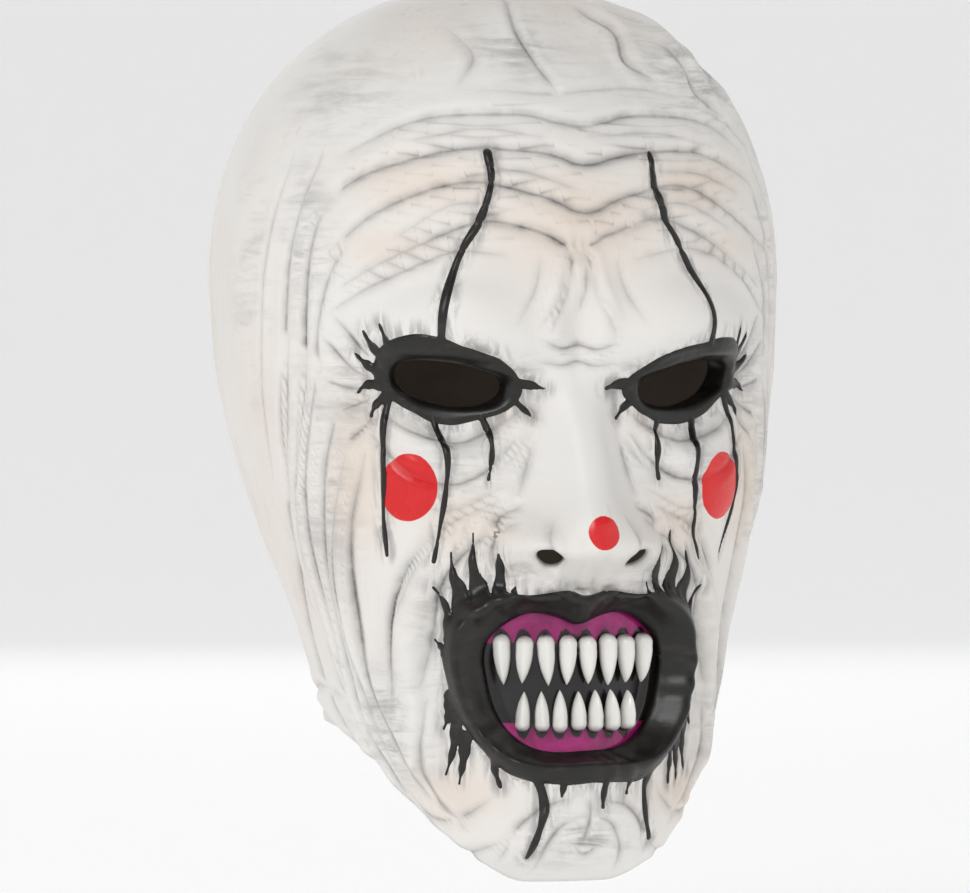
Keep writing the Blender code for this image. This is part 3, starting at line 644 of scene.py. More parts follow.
def stroke_distance(across, drop, places, start, end, side):
    far = np.full(np.shape(across), 0.02)
    near = near_box(side * across, drop, places, 0.006)
    if near.any():
        a, d = across[near], drop[near]
        shift = 0.0006 * wander(a * 2.0, d * 2.0, 3.0 + 7.0 * places[0] + side)
        away, along = curve_distance(side * a + shift, d, places)
        away = np.abs(away)
        swell = 0.00018 * np.sin(along * 17.0 + 9.0 * places[0] + side)
        far[near] = away - BRUSH * (start + (end - start) * along) - swell
    return far


def red_distance(across, drop):
    spots = [
        np.hypot(across - a * HALF_WIDTH, (drop - d * MASK_HEIGHT) * 0.97) - radius
        + 0.00035 * wander(across, drop, 5.0 + a)
        for a, d, radius in RED_SPOTS
    ]
    return np.minimum.reduce(spots)


def both_sides(both):
    return (1, -1) if both else (1,)


def fine_relief(across, drop, settings):
    """Creases in the skin, how grey each place is painted along them (partly ageing wash, partly painted shade in the
    sunk creases), and how far it lies from the nearest crease.
    """
    rise = np.zeros(np.shape(across))
    grey = np.zeros(np.shape(across))
    line = np.full(np.shape(across), 0.01)
    second = line.copy()
    for index, (both, *places, width, depth, wash) in enumerate(CREASES):
        for side in both_sides(both):
            more, greyer, away = crease(side * across, drop, places, width, depth, wash, index + 0.37 * side)
            rise += more
            grey = np.maximum(grey, greyer)
            second = np.minimum(second, np.maximum(np.abs(away), np.abs(line)))
            line = np.where(np.abs(away) < np.abs(line), away, line)
    grey = grey * ease(0.0003, 0.0026, second - np.abs(line))
    crumpled = np.exp(-(((across / HALF_WIDTH - 0.6) / 0.55) ** 2) - ((drop / MASK_HEIGHT - 0.08) / 0.06) ** 2)
    rise += 0.0030 * crumpled * wander(across * 1.3, drop * 1.3, 1.7)
    away = mouth_distance(across, drop)
    around = np.arctan2(drop - MOUTH_DOWN * MASK_HEIGHT, across)
    near = ease(LIP_BAND - 0.002, LIP_BAND + 0.002, away) * np.exp(-np.maximum(away - LIP_BAND, 0.0) / 0.007)
    ripple = np.sin(around * 36.0 + 2.5 * np.sin(around * 7.0))
    rise += 0.0004 * near * ripple
    return rise * settings.crease_depth, grey, line


def patches(across, drop, kind):
    """Strength of one kind of wash from its soft patches."""
    total = np.zeros(np.shape(across))
    for name, both, at, down, half_width, half_height, strength in PATCHES:
        if name == kind:
            for side in both_sides(both):
                wide = ((across / HALF_WIDTH - side * at) / half_width) ** 2
                tall = ((drop / MASK_HEIGHT - down) / half_height) ** 2
                total = np.maximum(total, strength * np.exp(-wide - tall))
    return total


def skin_points(turn, drop, settings):
    """Outer and inner points of the skin and the paint on each."""
    place, across = bare_face(turn, drop)
    out = normals(turn, drop)
    facing = ease(-0.1, 0.45, np.cos(turn))
    raised = eye_rim(across, drop) + lip(across, drop)
    for row in FOLDS:
        raised = raised + fold(across, drop, row)
    raised = raised * facing
    fine, grey, line = fine_relief(across, drop, settings)
    black = black_distance(across, drop)
    fine = fine * (0.45 + 0.55 * ease(0.0, 0.0035, black))
    red = red_distance(across, drop)
    lip_away = mouth_distance(across, drop)
    on_lip = ease(-0.001, 0.003, lip_away) * (1.0 - ease(LIP_BAND - 0.001, LIP_BAND + 0.002, lip_away))
    around = np.arctan2(drop - MOUTH_DOWN * MASK_HEIGHT, across)
    lip_folds = 0.0003 * on_lip * np.sin(around * 19.0 + 3.0 * np.sin(around * 5.0))
    paint = 0.8 * settings.paint_thickness * (1.0 - ease(-0.0009, 0.0003, red))
    quiet = 1.0 - ease(0.0, 0.004, 0.006 - np.minimum(lip_away, eye_distance(across, drop) + 0.003))
    outer = place + out * (raised + fine * quiet + lip_folds + paint)[..., None]
    inner = place + out * (raised - WALL)[..., None]
    values = {"black_paint": black, "red_paint": red, "crease_wash_and_shade": grey, "crease_line": line}
    for kind in ("warm_wash", "smudge_and_shade"):
        values[kind] = patches(across, drop, kind)
    return outer, inner, values


def solid_between(outer, inner, faces):
    """Faces of a closed wall between two surfaces that share their layout."""
    count = len(outer)
    edges = np.concatenate([faces[:, [k, (k + 1) % 4]] for k in range(4)])
    keys = {(int(a), int(b)) for a, b in edges if a != b}
    rim = [(a, b) for a, b in keys if (b, a) not in keys]
    sides = [(b, a, a + count, b + count) for a, b in rim]
    return [tuple(f) for f in faces.tolist()] + [tuple(f + count) for f in faces[:, ::-1]] + sides


def mesh_from(name, points, faces, values=None):
    """A mesh of closed faces with smooth shading and a number per point for each kind of paint."""
    mesh = bpy.data.meshes.new(name)
    faces = [tuple(dict.fromkeys(int(i) for i in face)) for face in faces]
    mesh.from_pydata(np.asarray(points).tolist(), [], [f for f in faces if len(f) > 2])
    for key, numbers in (values or {}).items():
        layer = mesh.attributes.new(key, "FLOAT", "POINT")
        layer.data.foreach_set("value", np.asarray(numbers, dtype=np.float32))
    shape = bmesh.new()
    shape.from_mesh(mesh)
    loose = [v for v in shape.verts if not v.link_faces]
    bmesh.ops.delete(shape, geom=loose, context="VERTS")
    bmesh.ops.recalc_face_normals(shape, faces=shape.faces)
    shape.to_mesh(mesh)
    shape.free()
    mesh.shade_smooth()
    return mesh


def place_piece(name, mesh, materials, slot, *nodes):
    made = bpy.data.objects.new(name, mesh)
    bpy.context.scene.collection.objects.link(made)
    for material in materials:
        mesh.materials.append(material)
    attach(made, "root")
    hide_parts(*nodes)
    return made


class Wire:
    """A socket that takes part in sums, adding Math nodes to its tree."""

    def __init__(self, tree, socket):
        self.tree = tree
        self.socket = socket

    def maths(self, operation, first, second=None, clamp=False):
        node = self.tree.nodes.new("ShaderNodeMath")
        node.operation = operation
        node.use_clamp = clamp
        for slot, value in enumerate((first, second)):
            if isinstance(value, Wire):
                self.tree.links.new(value.socket, node.inputs[slot])
            elif value is not None:
                node.inputs[slot].default_value = value
        return Wire(self.tree, node.outputs[0])

    def __add__(self, other):
        return self.maths("ADD", self, other)

    __radd__ = __add__

    def __sub__(self, other):
        return self.maths("SUBTRACT", self, other)

    def __rsub__(self, other):
        return self.maths("SUBTRACT", other, self)

    def __mul__(self, other):
        return self.maths("MULTIPLY", self, other)

    __rmul__ = __mul__

    def __truediv__(self, other):
        return self.maths("DIVIDE", self, other)

    def __pow__(self, other):
        return self.maths("POWER", self, other)

    def exp(self):
        return self.maths("EXPONENT", self)

    def clamped(self):
        return self.maths("ADD", self, 0.0, clamp=True)

    def smallest(self, other):
        return self.maths("MINIMUM", self, other)

    def largest(self, other):
        return self.maths("MAXIMUM", self, other)


class Finish:
    """A material under construction, with a method for each kind of node that the mask needs."""

    def __init__(self, name, roughness, coat=0.0, coat_roughness=0.1, specular=0.4):
        self.material = bpy.data.materials.new(name)
        self.material.use_nodes = True
        self.tree = self.material.node_tree
        self.shader = self.tree.nodes["Principled BSDF"]
        self.shader.inputs["Roughness"].default_value = roughness
        self.shader.inputs["Coat Weight"].default_value = coat
        self.shader.inputs["Coat Roughness"].default_value = coat_roughness
        self.shader.inputs["Specular IOR Level"].default_value = specular

    def add(self, kind, settings=None, sockets=None, output=0):
        """Adds a node: its settings first, then the value or link of each socket."""
        node = self.tree.nodes.new(kind)
        for key, value in (settings or {}).items():
            setattr(node, key, value)
        for key, value in (sockets or {}).items():
            if isinstance(value, Wire):
                self.tree.links.new(value.socket, node.inputs[key])
            else:
                node.inputs[key].default_value = value
        return Wire(self.tree, node.outputs[output])

    def place(self):
        return self.add("ShaderNodeTexCoord", output=3)

    def paint(self, name):
        return self.add("ShaderNodeAttribute", {"attribute_name": name}, output=2)

    def stretched(self, where, scale):
        return self.add("ShaderNodeMapping", None, {"Vector": where, "Scale": scale})

    def noise(self, where, scale, detail=4.0, roughness=0.55, distortion=0.0):
        sockets = {"Vector": where, "Scale": scale, "Detail": detail, "Roughness": roughness}
        return self.add("ShaderNodeTexNoise", None, {**sockets, "Distortion": distortion})

    def ease(self, value, low, high):
        settings = {"interpolation_type": "SMOOTHSTEP"}
        return self.add("ShaderNodeMapRange", settings, {"Value": value, "From Min": low, "From Max": high})

    def blend(self, factor, first, second):
        settings = {"data_type": "RGBA", "clamp_factor": True}
        return self.add("ShaderNodeMix", settings, {0: factor, 6: first, 7: second}, output=2)

    def bump(self, height, strength, distance):
        return self.add("ShaderNodeBump", None, {"Height": height, "Strength": strength, "Distance": distance})

    def feed(self, **wires):
        names = {"colour": "Base Color", "roughness": "Roughness", "coat": "Coat Weight", "normal": "Normal"}
        for key, wire in wires.items():
            self.tree.links.new(wire.socket, self.shader.inputs[names[key]])
        return self.material


def opaque(colour):
    return (*colour, 1.0)


def skin_finish(settings):
    """White latex with a warm wash, a grey wash that is partly painted shade in the creases and hollows, glossy red
    spots and a dusting of black round the paint.
    """
    finish = Finish("white_latex", 0.45, coat_roughness=0.16)
    where = finish.place()
    black = finish.paint("black_paint") * 1000.0
    red = finish.paint("red_paint") * 1000.0
    wash = finish.paint("crease_wash_and_shade")
    broad = finish.noise(where, 9.0, 3.0, 0.5)
    middle = finish.noise(where, 38.0, 5.0, 0.62, 0.4)
    fine = finish.noise(where, 170.0, 4.0, 0.6)
    dragged = finish.noise(finish.stretched(where, (60.0, 60.0, 9.0)), 5.0, 5.0, 0.65, 0.6)
    swept = finish.noise(finish.stretched(where, (12.0, 12.0, 75.0)), 4.0, 5.0, 0.65, 0.8)

    warm = (finish.paint("warm_wash") * (0.35 + 1.1 * middle) + finish.ease(broad, 0.52, 0.70) * 0.35).clamped()
    colour = finish.blend(warm, opaque(settings.latex_colour), opaque(settings.warm_colour))
    mottle = finish.ease(middle * 0.5 + fine * 0.5, 0.36, 0.62)
    aside = (finish.paint("crease_line") * 1000.0 + (middle - 0.5) * 0.8) ** 2.0
    thin = (aside * -2.2).exp()
    soft = (aside * -0.32).exp()
    smeared = finish.ease(swept * 0.5 + middle * 0.5, 0.42, 0.66)
    # grey smudge patches: dry-brush, and painted shade where they sit in hollows at the inner eye corners, under the
    # nose wings and in the chin dimple
    smudge_and_shade = finish.paint("smudge_and_shade") * smeared * 0.95
    # grey along the creases: partly ageing wash, partly painted shade in the sunk creases
    creased_wash_and_shade = (wash * (thin * (0.60 + 0.60 * mottle)).largest(soft * (0.20 + 0.65 * mottle))).clamped()
    dirt = finish.ease(broad * 0.45 + dragged * 0.55, 0.56, 0.74) * 0.30
    grey = creased_wash_and_shade.largest(smudge_and_shade).largest(dirt)
    colour = finish.blend(grey, colour, opaque(settings.grey_wash_and_shade_colour))

    soot = (1.0 - finish.ease(black + (middle - 0.5) * 5.0, 0.0, 4.0)) * finish.ease(dragged, 0.40, 0.62)
    colour = finish.blend(soot * 0.6, colour, opaque(settings.grey_wash_and_shade_colour))
    is_red = 1.0 - finish.ease(red + (fine - 0.5) * 0.5, -0.12, 0.12)
    # the red turns lighter in cloudy patches: partly uneven brushed paint, partly painted highlights on the glossy
    # spots
    red_colour = finish.blend(finish.ease(middle, 0.40, 0.75), opaque(settings.red_colour), (0.80, 0.03, 0.03, 1.0))
    colour = finish.blend(is_red, colour, red_colour)
    under_paint = 1.0 - finish.ease(black, -0.5, -0.2)
    colour = finish.blend(under_paint, colour, opaque(settings.black_colour))

    roughness = 0.46 + (middle - 0.5) * 0.16 + wash * 0.10 - is_red * 0.18
    pores = finish.noise(where, 230.0, 3.0)
    strokes = finish.noise(finish.stretched(where, (50.0, 50.0, 12.0)), 4.0, 3.0, 0.6)
    groove = (wash * (aside * -3.0).exp()) * -1.1
    bump = finish.bump(pores * 0.35 + strokes * 0.5 + groove, 0.34, 0.0009)
    return finish.feed(colour=colour, roughness=roughness, coat=is_red * 0.22, normal=bump)


def paint_finish(settings):
    """Thick satin black with brush marks."""
    finish = Finish("black_paint", 0.34, coat=0.12, coat_roughness=0.2)
    where = finish.place()
    brushed = finish.noise(finish.stretched(where, (26.0, 26.0, 60.0)), 5.0, 4.0, 0.6)
    fine = finish.noise(where, 260.0, 3.0)
    colour = finish.blend(finish.ease(brushed, 0.5, 0.8), opaque(settings.black_colour), (0.035, 0.029, 0.025, 1.0))
    roughness = 0.26 + brushed * 0.22
    return finish.feed(colour=colour, roughness=roughness, normal=finish.bump(brushed + fine * 0.6, 0.25, 0.0006))


def inside_finish():
    """Inner side of the latex, its cream darkened to a brown-grey as painted shade for the hollow."""
    finish = Finish("shaded_inner_latex", 0.6)
    where = finish.place()
    cloudy = finish.noise(where, 22.0, 4.0)
    # dark brown-greys in place of the cream latex: painted shade inside the mask
    colour = finish.blend(finish.ease(cloudy, 0.35, 0.7), (0.24, 0.20, 0.16, 1.0), (0.32, 0.28, 0.23, 1.0))
    height = finish.noise(where, 240.0, 3.0)
    return finish.feed(colour=colour, normal=finish.bump(height, 0.3, 0.0006))


def gum_finish(settings):
    """Glossy magenta gum, black between the teeth."""
    finish = Finish("magenta_gum", 0.26, coat=0.3, coat_roughness=0.08)
    where = finish.place()
    black = finish.paint("black_paint") * 1000.0
    cloudy = finish.noise(where, 130.0, 4.0, 0.6)
    fine = finish.noise(where, 420.0, 3.0)
    colour = finish.blend(finish.ease(cloudy, 0.35, 0.7), opaque(settings.gum_colour), (0.30, 0.008, 0.13, 1.0))
    is_black = 1.0 - finish.ease(black + (fine - 0.5) * 0.6, -0.15, 0.15)
    colour = finish.blend(is_black, colour, opaque(settings.black_colour))
    height = cloudy * 0.7 + fine * 0.3
    return finish.feed(colour=colour, normal=finish.bump(height, 0.35, 0.0005))


def tooth_finish(settings):
    """Glossy white enamel, a little darker at the root."""
    finish = Finish("tooth_white", 0.2, coat=0.5, coat_roughness=0.05)
    where = finish.place()
    root = finish.paint("root_shade")
    cloudy = finish.noise(where, 260.0, 4.0, 0.6)
    streaks = finish.noise(finish.stretched(where, (9.0, 9.0, 1.0)), 60.0, 4.0, 0.6)
    colour = finish.blend(streaks * 0.5, opaque(settings.tooth_colour), (0.80, 0.78, 0.71, 1.0))
    dirty = (finish.ease(root + (cloudy - 0.5) * 0.5, 0.62, 1.02)).clamped()
    colour = finish.blend(dirty, colour, opaque(settings.black_colour))
    height = streaks * 0.6 + cloudy * 0.4
    return finish.feed(colour=colour, normal=finish.bump(height, 0.2, 0.0004))


def stage_finish():
    finish = Finish("pale_floor", 0.7)
    finish.shader.inputs["Base Color"].default_value = (0.80, 0.80, 0.80, 1.0)
    finish.shader.inputs["Emission Color"].default_value = (1.0, 1.0, 1.0, 1.0)
    finish.shader.inputs["Emission Strength"].default_value = 0.40
    return finish.material


def colour_property(name, text, default):
    return FloatVectorProperty(name=name, description=text, default=default, size=3, min=0.0, max=1.0, subtype="COLOR")


class ClownMaskSkin(bpy.types.PropertyGroup):
    crease_depth: FloatProperty(
        name="Crease depth", description="Depth of the sunk creases against their modelled depth",
        default=1.3, min=0.0, max=2.0, subtype="FACTOR",
    )
    paint_thickness: FloatProperty(
        name="Paint thickness", description="How far the black and red paint stands off the latex",
        default=0.0005, min=0.0, max=0.001, unit="LENGTH",
    )
    latex_colour: colour_property("Latex", "Colour of the clean white latex", (0.84, 0.82, 0.79))
    warm_colour: colour_property("Warm wash", "Colour of the flesh-warm wash", (0.80, 0.68, 0.58))
    # grey of the creases, smudges, dirt and soot; in the sunk creases and hollows it is painted shade
    grey_wash_and_shade_colour: colour_property("Grey wash", "Colour of the ageing wash in the creases", (0.175, 0.17, 0.175))
    black_colour: colour_property("Black paint", "Colour of the lips, eye rims and drips", (0.008, 0.007, 0.006))
    red_colour: colour_property("Red paint", "Colour of the cheek and nose spots", (0.70, 0.004, 0.007))


class ClownMaskMouth(bpy.types.PropertyGroup):
    gum_colour: colour_property("Gum", "Colour of the gum wall", (0.50, 0.018, 0.22))
    tooth_colour: colour_property("Teeth", "Colour of the teeth", (0.88, 0.87, 0.84))
    black_colour: colour_property("Tooth gaps", "Colour between the teeth", (0.010, 0.008, 0.008))


class ClownMaskStage(bpy.types.PropertyGroup):
    floor_drop: FloatProperty(
        name="Floor drop", description="How far the floor lies below the chin", default=0.05, min=0.0, unit="LENGTH"
    )
    floor_radius: FloatProperty(
        name="Floor radius", description="How far the floor reaches", default=8.0, min=2.0, unit="LENGTH"
    )


class CLOWNMASK_OT_skin(bpy.types.Operator):
    """Build the painted latex skin with its folds, lips and eye rims"""

    bl_idname = "clownmask.skin"
    bl_label = "Latex Skin"

    def execute(self, context):
        settings = context.scene.clown_mask_skin
        turns, drops = skin_grid()
        rows, count = turns.shape
        turn, drop = turns.ravel(), drops.ravel()
        faces = open_holes(turn, drop, ring_faces(rows, count, 0))
        outer, inner, paint = skin_points(turn, drop, settings)
        tops = [(0.0, -head_section(np.array(0.0))[3], height) for height in (CROWN, CROWN - WALL)]
        caps = np.array([(j, (j + 1) % count) for j in range(count)])
        crown = np.column_stack((np.full((count, 2), len(outer)), caps[:, ::-1]))
        outer, inner = np.vstack((outer, tops[:1])), np.vstack((inner, tops[1:]))
        walls = solid_between(outer, inner, np.vstack((faces, crown)))
        far = {"black_paint": 0.02, "red_paint": 0.02, "crease_line": 0.01}
        values = {key: np.tile(np.append(value, far.get(key, 0.0)), 2) for key, value in paint.items()}
        values["inner_side"] = np.repeat((0.0, 1.0), len(outer))
        mesh = mesh_from("latex_skin", np.vstack((outer, inner)), walls, values)
        skin = place_piece(
            "latex_skin", mesh, (skin_finish(settings), inside_finish()), "white_latex", "mask_skin"
        )
        paint_inside(skin.data)
        return {"FINISHED"}


def paint_inside(mesh):
    """Gives the faces of the inner side the darkened latex, painted shade for the hollow."""
    inner = np.zeros(len(mesh.vertices), dtype=np.float32)
    mesh.attributes["inner_side"].data.foreach_get("value", inner)
    slots = [int(all(inner[v] > 0.5 for v in face.vertices)) for face in mesh.polygons]
    mesh.polygons.foreach_set("material_index", slots)
    mesh.attributes.remove(mesh.attributes["inner_side"])


def gum_depth():
    """How far the gum wall's front lies behind the bare face."""
    return LIP_ROLL + WALL + GAP + FACET_ALLOWANCE


def tooth_places(count, span, root, length, points_down):
    """Where each tooth of a row sits: its middle across and down, its seat and its outward direction."""
    row_half = span * float(mouth_half_width(root))
    across = (np.arange(count) + 0.5 - count / 2) * 2.0 * row_half / count
    root_drop = MOUTH_DOWN * MASK_HEIGHT + root * MOUTH_HEIGHT / 2
    drop = np.full(count, root_drop + (length / 2 if points_down else -length / 2))
    seats, outs = behind_lips(across, drop, np.full(count, gum_depth() - GAP))
    pitch = float(np.min(np.linalg.norm(np.diff(seats, axis=0), axis=1)))
    return across, drop, seats, outs, pitch


def tooth_rows():
    counts = [sum(name.startswith(row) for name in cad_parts) for row in ("upper_tooth", "lower_tooth")]
    yield "upper_tooth", counts[0], UPPER_ROW_SPAN, UPPER_ROOT, UPPER_TOOTH_LENGTH, True
    yield "lower_tooth", counts[1], LOWER_ROW_SPAN, LOWER_ROOT, LOWER_TOOTH_LENGTH, False


class CLOWNMASK_OT_paint(bpy.types.Operator):
    """Lay the thick black paint of the lips, eye rims and drips over the skin"""

    bl_idname = "clownmask.paint"
    bl_label = "Black Paint"

    def execute(self, context):
        settings = context.scene.clown_mask_skin
        wide = np.arange(-PAINT_REACH, PAINT_REACH, PAINT_STEP)
        tall = np.arange(PAINT_TOP, PAINT_FOOT, PAINT_STEP)
        across, drop = (grid.ravel() for grid in np.meshgrid(wide, tall))
        corner = (np.arange(len(tall) - 1)[:, None] * len(wide) + np.arange(len(wide) - 1)).ravel()
        faces = np.stack((corner, corner + 1, corner + 1 + len(wide), corner + len(wide)), axis=-1)
        edge = paint_edge(across, drop)
        faces = faces[edge[faces].mean(axis=1) < 0.0]
        used, faces = np.unique(faces, return_inverse=True)
        faces = faces.reshape(-1, 4)
        across, drop, edge = across[used], drop[used], edge[used]
        sides = np.bincount(faces.ravel(), minlength=len(used))
        snap_to_edge(across, drop, np.nonzero(sides < 4)[0], paint_edge, PAINT_STEP)
        depth = ease(0.0, 0.0008, -np.where(sides < 4, 0.0, paint_edge(across, drop)))
        turn = across / head_section(drop)[0]
        outer, _, _ = skin_points(turn, drop, settings)
        out = normals(turn, drop)
        top = outer + out * (0.00008 + settings.paint_thickness * depth)[:, None]
        walls = solid_between(top, outer - out * 0.0003, faces)
        mesh = mesh_from("black_paint", np.vstack((top, outer - out * 0.0003)), walls)
        place_piece("black_paint", mesh, (paint_finish(settings),), "white_latex", "mask_skin")
        return {"FINISHED"}


def paint_edge(across, drop):
    """Distance outside the black paint, with the holes left out of it."""
    return np.maximum(black_distance(across, drop), -hole_distance(across, drop))


def snap_to_edge(across, drop, which, distance, step):
    """Moves the chosen points onto the line where a distance is zero, no further than a step."""
    a, d = across[which], drop[which]
    reach = 0.00005
    for _ in range(5):
        away = np.clip(distance(a, d), -0.6 * step, 0.6 * step)
        slope_a = (distance(a + reach, d) - distance(a - reach, d)) / (2 * reach)
        slope_d = (distance(a, d + reach) - distance(a, d - reach)) / (2 * reach)
        size = slope_a**2 + slope_d**2 + 0.05
        a, d = a - away * slope_a / size, d - away * slope_d / size
    across[which] = np.clip(a, across[which] - 0.8 * step, across[which] + 0.8 * step)
    drop[which] = np.clip(d, drop[which] - 0.8 * step, drop[which] + 0.8 * step)


class CLOWNMASK_OT_gum(bpy.types.Operator):
    """Build the gum wall, scalloped round each tooth root"""

    bl_idname = "clownmask.gum"
    bl_label = "Gum Wall"

    def execute(self, context):
        settings = context.scene.clown_mask_mouth
        rings, spokes = GUM_ROWS // 2, GUM_COLUMNS
        middle = MOUTH_DOWN * MASK_HEIGHT
        ring_across, ring_drop = mouth_ring(GUM_MARGIN, spokes)
        shares = np.arange(1, rings + 1)[:, None] / rings
        across = np.append((ring_across * shares).ravel(), 0.0)
        drop = np.append((middle + (ring_drop - middle) * shares).ravel(), middle)
        place, out = behind_lips(across, drop, np.full(len(across), gum_depth()))
        bulge = np.zeros(len(across))
        roots = [middle + root * MOUTH_HEIGHT / 2 for root in (UPPER_ROOT, LOWER_ROOT)]
        black = np.maximum(roots[0] + 0.0030 - drop, drop - roots[1] + 0.0030)
        for _, count, span, root, length, points_down in tooth_rows():
            at, down, _, _, pitch = tooth_places(count, span, root, length, points_down)
            root_drop = middle + root * MOUTH_HEIGHT / 2
            for a, d in zip(at, down):
                beside = (across - a) / (0.52 * pitch)
                above = (drop - root_drop) / 0.0060
                bulge += 0.0011 * np.exp(-(beside**2) - above**2)
                away = np.hypot((across - a) / (pitch * 0.60), (drop - d) / (length * 0.60)) - 1.0
                black = np.minimum(black, away * pitch * 0.5)
        room = ease(0.0, 0.0035, -mouth_distance(across, drop))
        front = place + out * ((np.minimum(bulge, 0.0014) - 0.0013) * room)[..., None]
        back = place - out * GUM_THICKNESS
        faces = ring_faces(rings, spokes, 0)
        centre = np.full(spokes, len(across) - 1)
        fan = np.stack((centre, centre, np.roll(np.arange(spokes), -1), np.arange(spokes)), axis=-1)
        walls = solid_between(front, back, np.vstack((faces, fan)))
        mesh = mesh_from("gum_wall", np.vstack((front, back)), walls, {"black_paint": np.tile(black, 2)})
        place_piece("gum_wall", mesh, (gum_finish(settings),), "magenta_gum", "gum_panel")
        return {"FINISHED"}


# Shares of a tooth's half width and thickness along its length, from root to tip
TOOTH_SECTIONS = (
    # along, half_width, thickness
    (0.00, 0.10, 0.20),
    (0.03, 0.46, 0.45),
    (0.10, 0.84, 0.80),
    (0.32, 1.00, 1.00),
    (0.60, 0.86, 0.88),
    (0.84, 0.48, 0.60),
    (0.95, 0.20, 0.32),
    (1.00, 0.03, 0.10),
)


def tooth_mesh(name, half_width, length, lean):
    """A pointed tooth with a flat back, its root at +Z and its front toward -Y."""
    along = np.linspace(0.0, 1.0, TOOTH_RINGS) ** 0.9
    wide = smooth_table(TOOTH_SECTIONS, 1, along)[:, None] * half_width
    thick = smooth_table(TOOTH_SECTIONS, 2, along)[:, None] * TOOTH_THICKNESS
    angles = np.arange(TOOTH_SIDES) / TOOTH_SIDES * 2.0 * math.pi
    front = np.sin(angles)[None, :]
    ridge = 1.0 + 0.045 * np.sin(angles * 5.0)[None, :] * np.sin(along * math.pi)[:, None]
    x = wide * np.cos(angles)[None, :] + lean * half_width * (along**2)[:, None]
    y = -np.where(front > 0.0, thick * front**0.85 * ridge, 0.04 * thick * front)
    z = np.repeat((length * (0.5 - along))[:, None], TOOTH_SIDES, axis=1)
    rings = np.stack((x, np.nan_to_num(y), z), axis=-1).reshape(-1, 3)
    ends = np.array([rings[:TOOTH_SIDES].mean(axis=0), rings[-TOOTH_SIDES:].mean(axis=0)])
    faces = [tuple(f) for f in ring_faces(TOOTH_RINGS, TOOTH_SIDES, 0).tolist()]
    last = (TOOTH_RINGS - 1) * TOOTH_SIDES
    for k in range(TOOTH_SIDES):
        after = (k + 1) % TOOTH_SIDES
        faces += [(len(rings), k, after), (len(rings) + 1, last + after, last + k)]
    shade = np.append(np.repeat(1.0 - along * 3.2, TOOTH_SIDES), (1.0, 0.0))
    return mesh_from(name, np.vstack((rings, ends)), faces, {"root_shade": np.clip(shade, 0.0, 1.0)})


class CLOWNMASK_OT_teeth(bpy.types.Operator):
    """Set the pointed upper and lower teeth on the gum wall"""

    bl_idname = "clownmask.teeth"
    bl_label = "Teeth"

    def execute(self, context):
        enamel = tooth_finish(context.scene.clown_mask_mouth)
        for row, count, span, root, length, points_down in tooth_rows():
            _, _, seats, outs, pitch = tooth_places(count, span, root, length, points_down)
            for k in range(count):
                front = Vector(outs[k])
                down = Vector((0.0, 0.0, -1.0 if points_down else 1.0))
                down = (down - down.project(front)).normalized()
                basis = Matrix((front.cross(down), -front, -down)).transposed().to_4x4()
                wave = math.sin(2.3 * k + 5.0 * root)
                tall = length * (0.97 + 0.04 * wave)
                mesh = tooth_mesh(f"{row}_{k + 1}_enamel", (pitch - TOOTH_SPACE) * 0.46, tall, 0.16 * wave)
                tip = Matrix.Rotation(0.05 * math.sin(3.1 * k + root), 4, "Y")
                mesh.transform(Matrix.Translation(Vector(seats[k])) @ basis @ tip)
                place_piece(mesh.name, mesh, (enamel,), "tooth_white", f"{row}_{k + 1}")
        return {"FINISHED"}


class CLOWNMASK_OT_stage(bpy.types.Operator):
    """Lay the pale floor and set the soft lights and the camera"""

    bl_idname = "clownmask.stage"
    bl_label = "Stage"

    def execute(self, context):
        settings = context.scene.clown_mask_stage
        add_floor(settings)
        add_lights(context)
        add_camera(context)
        return {"FINISHED"}


def add_floor(settings):
    """A floor that rises at its far edge into a pale wall all round."""
    shape = bmesh.new()
    low = SKIN_LOW.z - settings.floor_drop
    reach, turn = settings.floor_radius, 0.68 * settings.floor_radius
    profile = [(0.0, low), (reach - turn, low)]
    for k in range(1, 25):
        angle = k / 24 * math.pi / 2
        profile.append((reach - turn + turn * math.sin(angle), low + turn * (1.0 - math.cos(angle))))
    points = [shape.verts.new((x, 0.0, z)) for x, z in profile]
    lines = [shape.edges.new(pair) for pair in zip(points, points[1:])]
    bmesh.ops.spin(
        shape, geom=points + lines, axis=(0, 0, 1), cent=(0, 0, 0), angle=2 * math.pi, steps=96,
        use_merge=True,
    )
    bmesh.ops.remove_doubles(shape, verts=shape.verts, dist=1e-4)
    bmesh.ops.recalc_face_normals(shape, faces=shape.faces)
    mesh = bpy.data.meshes.new("pale_floor")
    shape.to_mesh(mesh)
    shape.free()
    mesh.shade_smooth()
    mesh.materials.append(stage_finish())
    floor = bpy.data.objects.new("pale_floor", mesh)
    bpy.context.scene.collection.objects.link(floor)


LIGHTS = (
    # name, place, power in watts, size
    ("key_light", (-1.5, -1.6, 1.5), 21.0, 1.0),
    ("fill_light", (1.7, -1.5, 0.35), 2.0, 1.6),
    ("top_light", (0.2, 0.4, 1.9), 3.0, 1.2),
    ("back_light", (0.5, 2.0, 0.7), 4.0, 1.5),
)


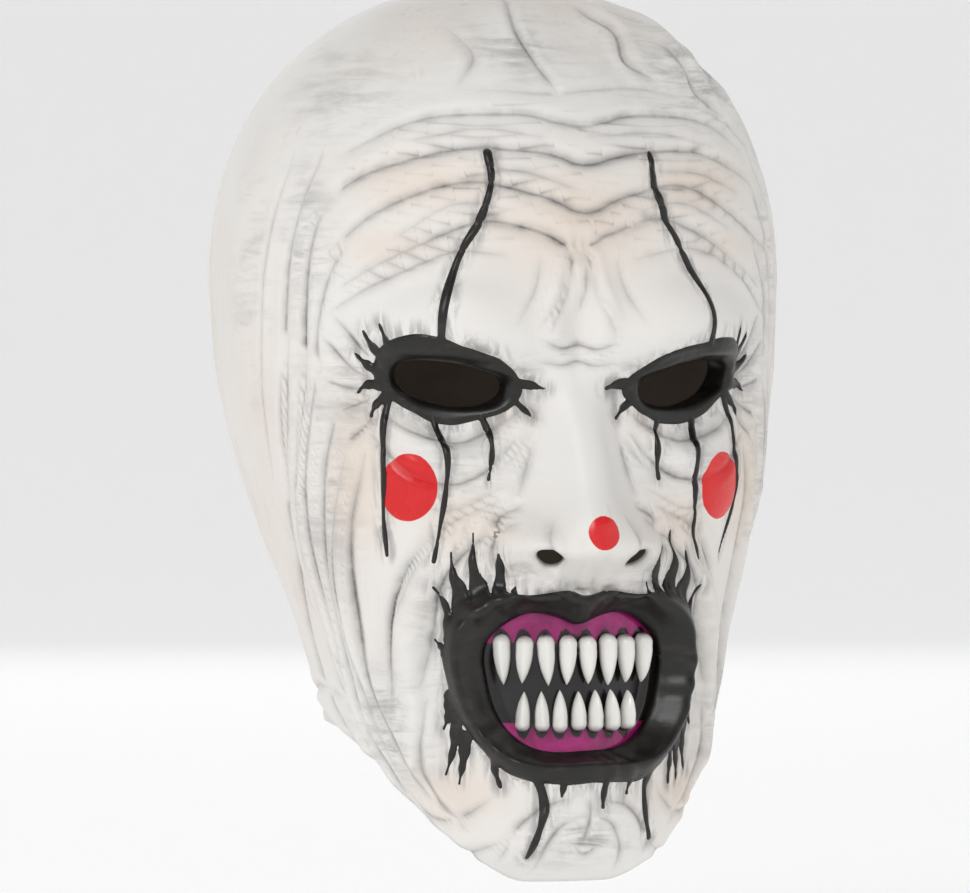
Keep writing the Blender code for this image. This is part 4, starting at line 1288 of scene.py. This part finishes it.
def add_lights(context):
    target = Vector((0.0, 0.0, -MASK_HEIGHT / 2))
    for name, place, power, size in LIGHTS:
        data = bpy.data.lights.new(name, "AREA")
        data.energy, data.size = power, size
        made = bpy.data.objects.new(name, data)
        made.location = place
        made.rotation_euler = (target - Vector(place)).to_track_quat("-Z", "Y").to_euler()
        context.scene.collection.objects.link(made)
    world = bpy.data.worlds.new("soft_studio")
    world.use_nodes = True
    background = world.node_tree.nodes["Background"]
    background.inputs["Color"].default_value = (1.0, 1.0, 1.0, 1.0)
    background.inputs["Strength"].default_value = 0.24
    context.scene.world = world
    context.scene.view_settings.view_transform = "Standard"


def add_camera(context):
    data = bpy.data.cameras.new("picture_camera")
    made = bpy.data.objects.new("picture_camera", data)
    back = Vector((
        math.sin(CAMERA_TURN) * math.cos(CAMERA_LIFT), -math.cos(CAMERA_TURN) * math.cos(CAMERA_LIFT),
        math.sin(CAMERA_LIFT),
    ))
    right = Vector((math.cos(CAMERA_TURN), math.sin(CAMERA_TURN), 0.0))
    up = back.cross(right)
    aside = (PICTURE_WIDTH / 2 - AXIS_PIXEL) / PIXELS_PER_METRE
    below = (PICTURE_HEIGHT / 2 - CROWN_PIXEL) / PIXELS_PER_METRE
    target = Vector((0.0, 0.0, CROWN)) + right * aside - up * below
    made.location = target + back * CAMERA_DISTANCE
    made.rotation_euler = (-back).to_track_quat("-Z", "Y").to_euler()
    data.lens = data.sensor_width * CAMERA_DISTANCE * PIXELS_PER_METRE / PICTURE_WIDTH
    data.clip_end = 50.0
    context.scene.collection.objects.link(made)
    context.scene.camera = made


class CLOWNMASK_PT_panel(bpy.types.Panel):
    """Lists the steps that build the mask"""

    bl_idname = "CLOWNMASK_PT_panel"
    bl_label = "Clown Mask"
    bl_space_type = "VIEW_3D"
    bl_region_type = "UI"
    bl_category = "Mask"

    def draw(self, context):
        scene = context.scene
        for group in (scene.clown_mask_skin, scene.clown_mask_mouth, scene.clown_mask_stage):
            for key in group.__annotations__:
                self.layout.prop(group, key)
        for step in STEPS:
            self.layout.operator(step.bl_idname)


STEPS = (CLOWNMASK_OT_skin, CLOWNMASK_OT_paint, CLOWNMASK_OT_gum, CLOWNMASK_OT_teeth, CLOWNMASK_OT_stage)
GROUPS = (
    ("clown_mask_skin", ClownMaskSkin),
    ("clown_mask_mouth", ClownMaskMouth),
    ("clown_mask_stage", ClownMaskStage),
)


def register():
    for name, group in GROUPS:
        bpy.utils.register_class(group)
        setattr(bpy.types.Scene, name, bpy.props.PointerProperty(type=group))
    for step in STEPS:
        bpy.utils.register_class(step)
    bpy.utils.register_class(CLOWNMASK_PT_panel)


def unregister():
    bpy.utils.unregister_class(CLOWNMASK_PT_panel)
    for step in reversed(STEPS):
        bpy.utils.unregister_class(step)
    for name, group in reversed(GROUPS):
        delattr(bpy.types.Scene, name)
        bpy.utils.unregister_class(group)


def main():
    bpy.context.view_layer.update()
    register()
    bpy.ops.clownmask.skin()
    bpy.ops.clownmask.paint()
    bpy.ops.clownmask.gum()
    bpy.ops.clownmask.teeth()
    bpy.ops.clownmask.stage()


if __name__ == "__main__":
    main()
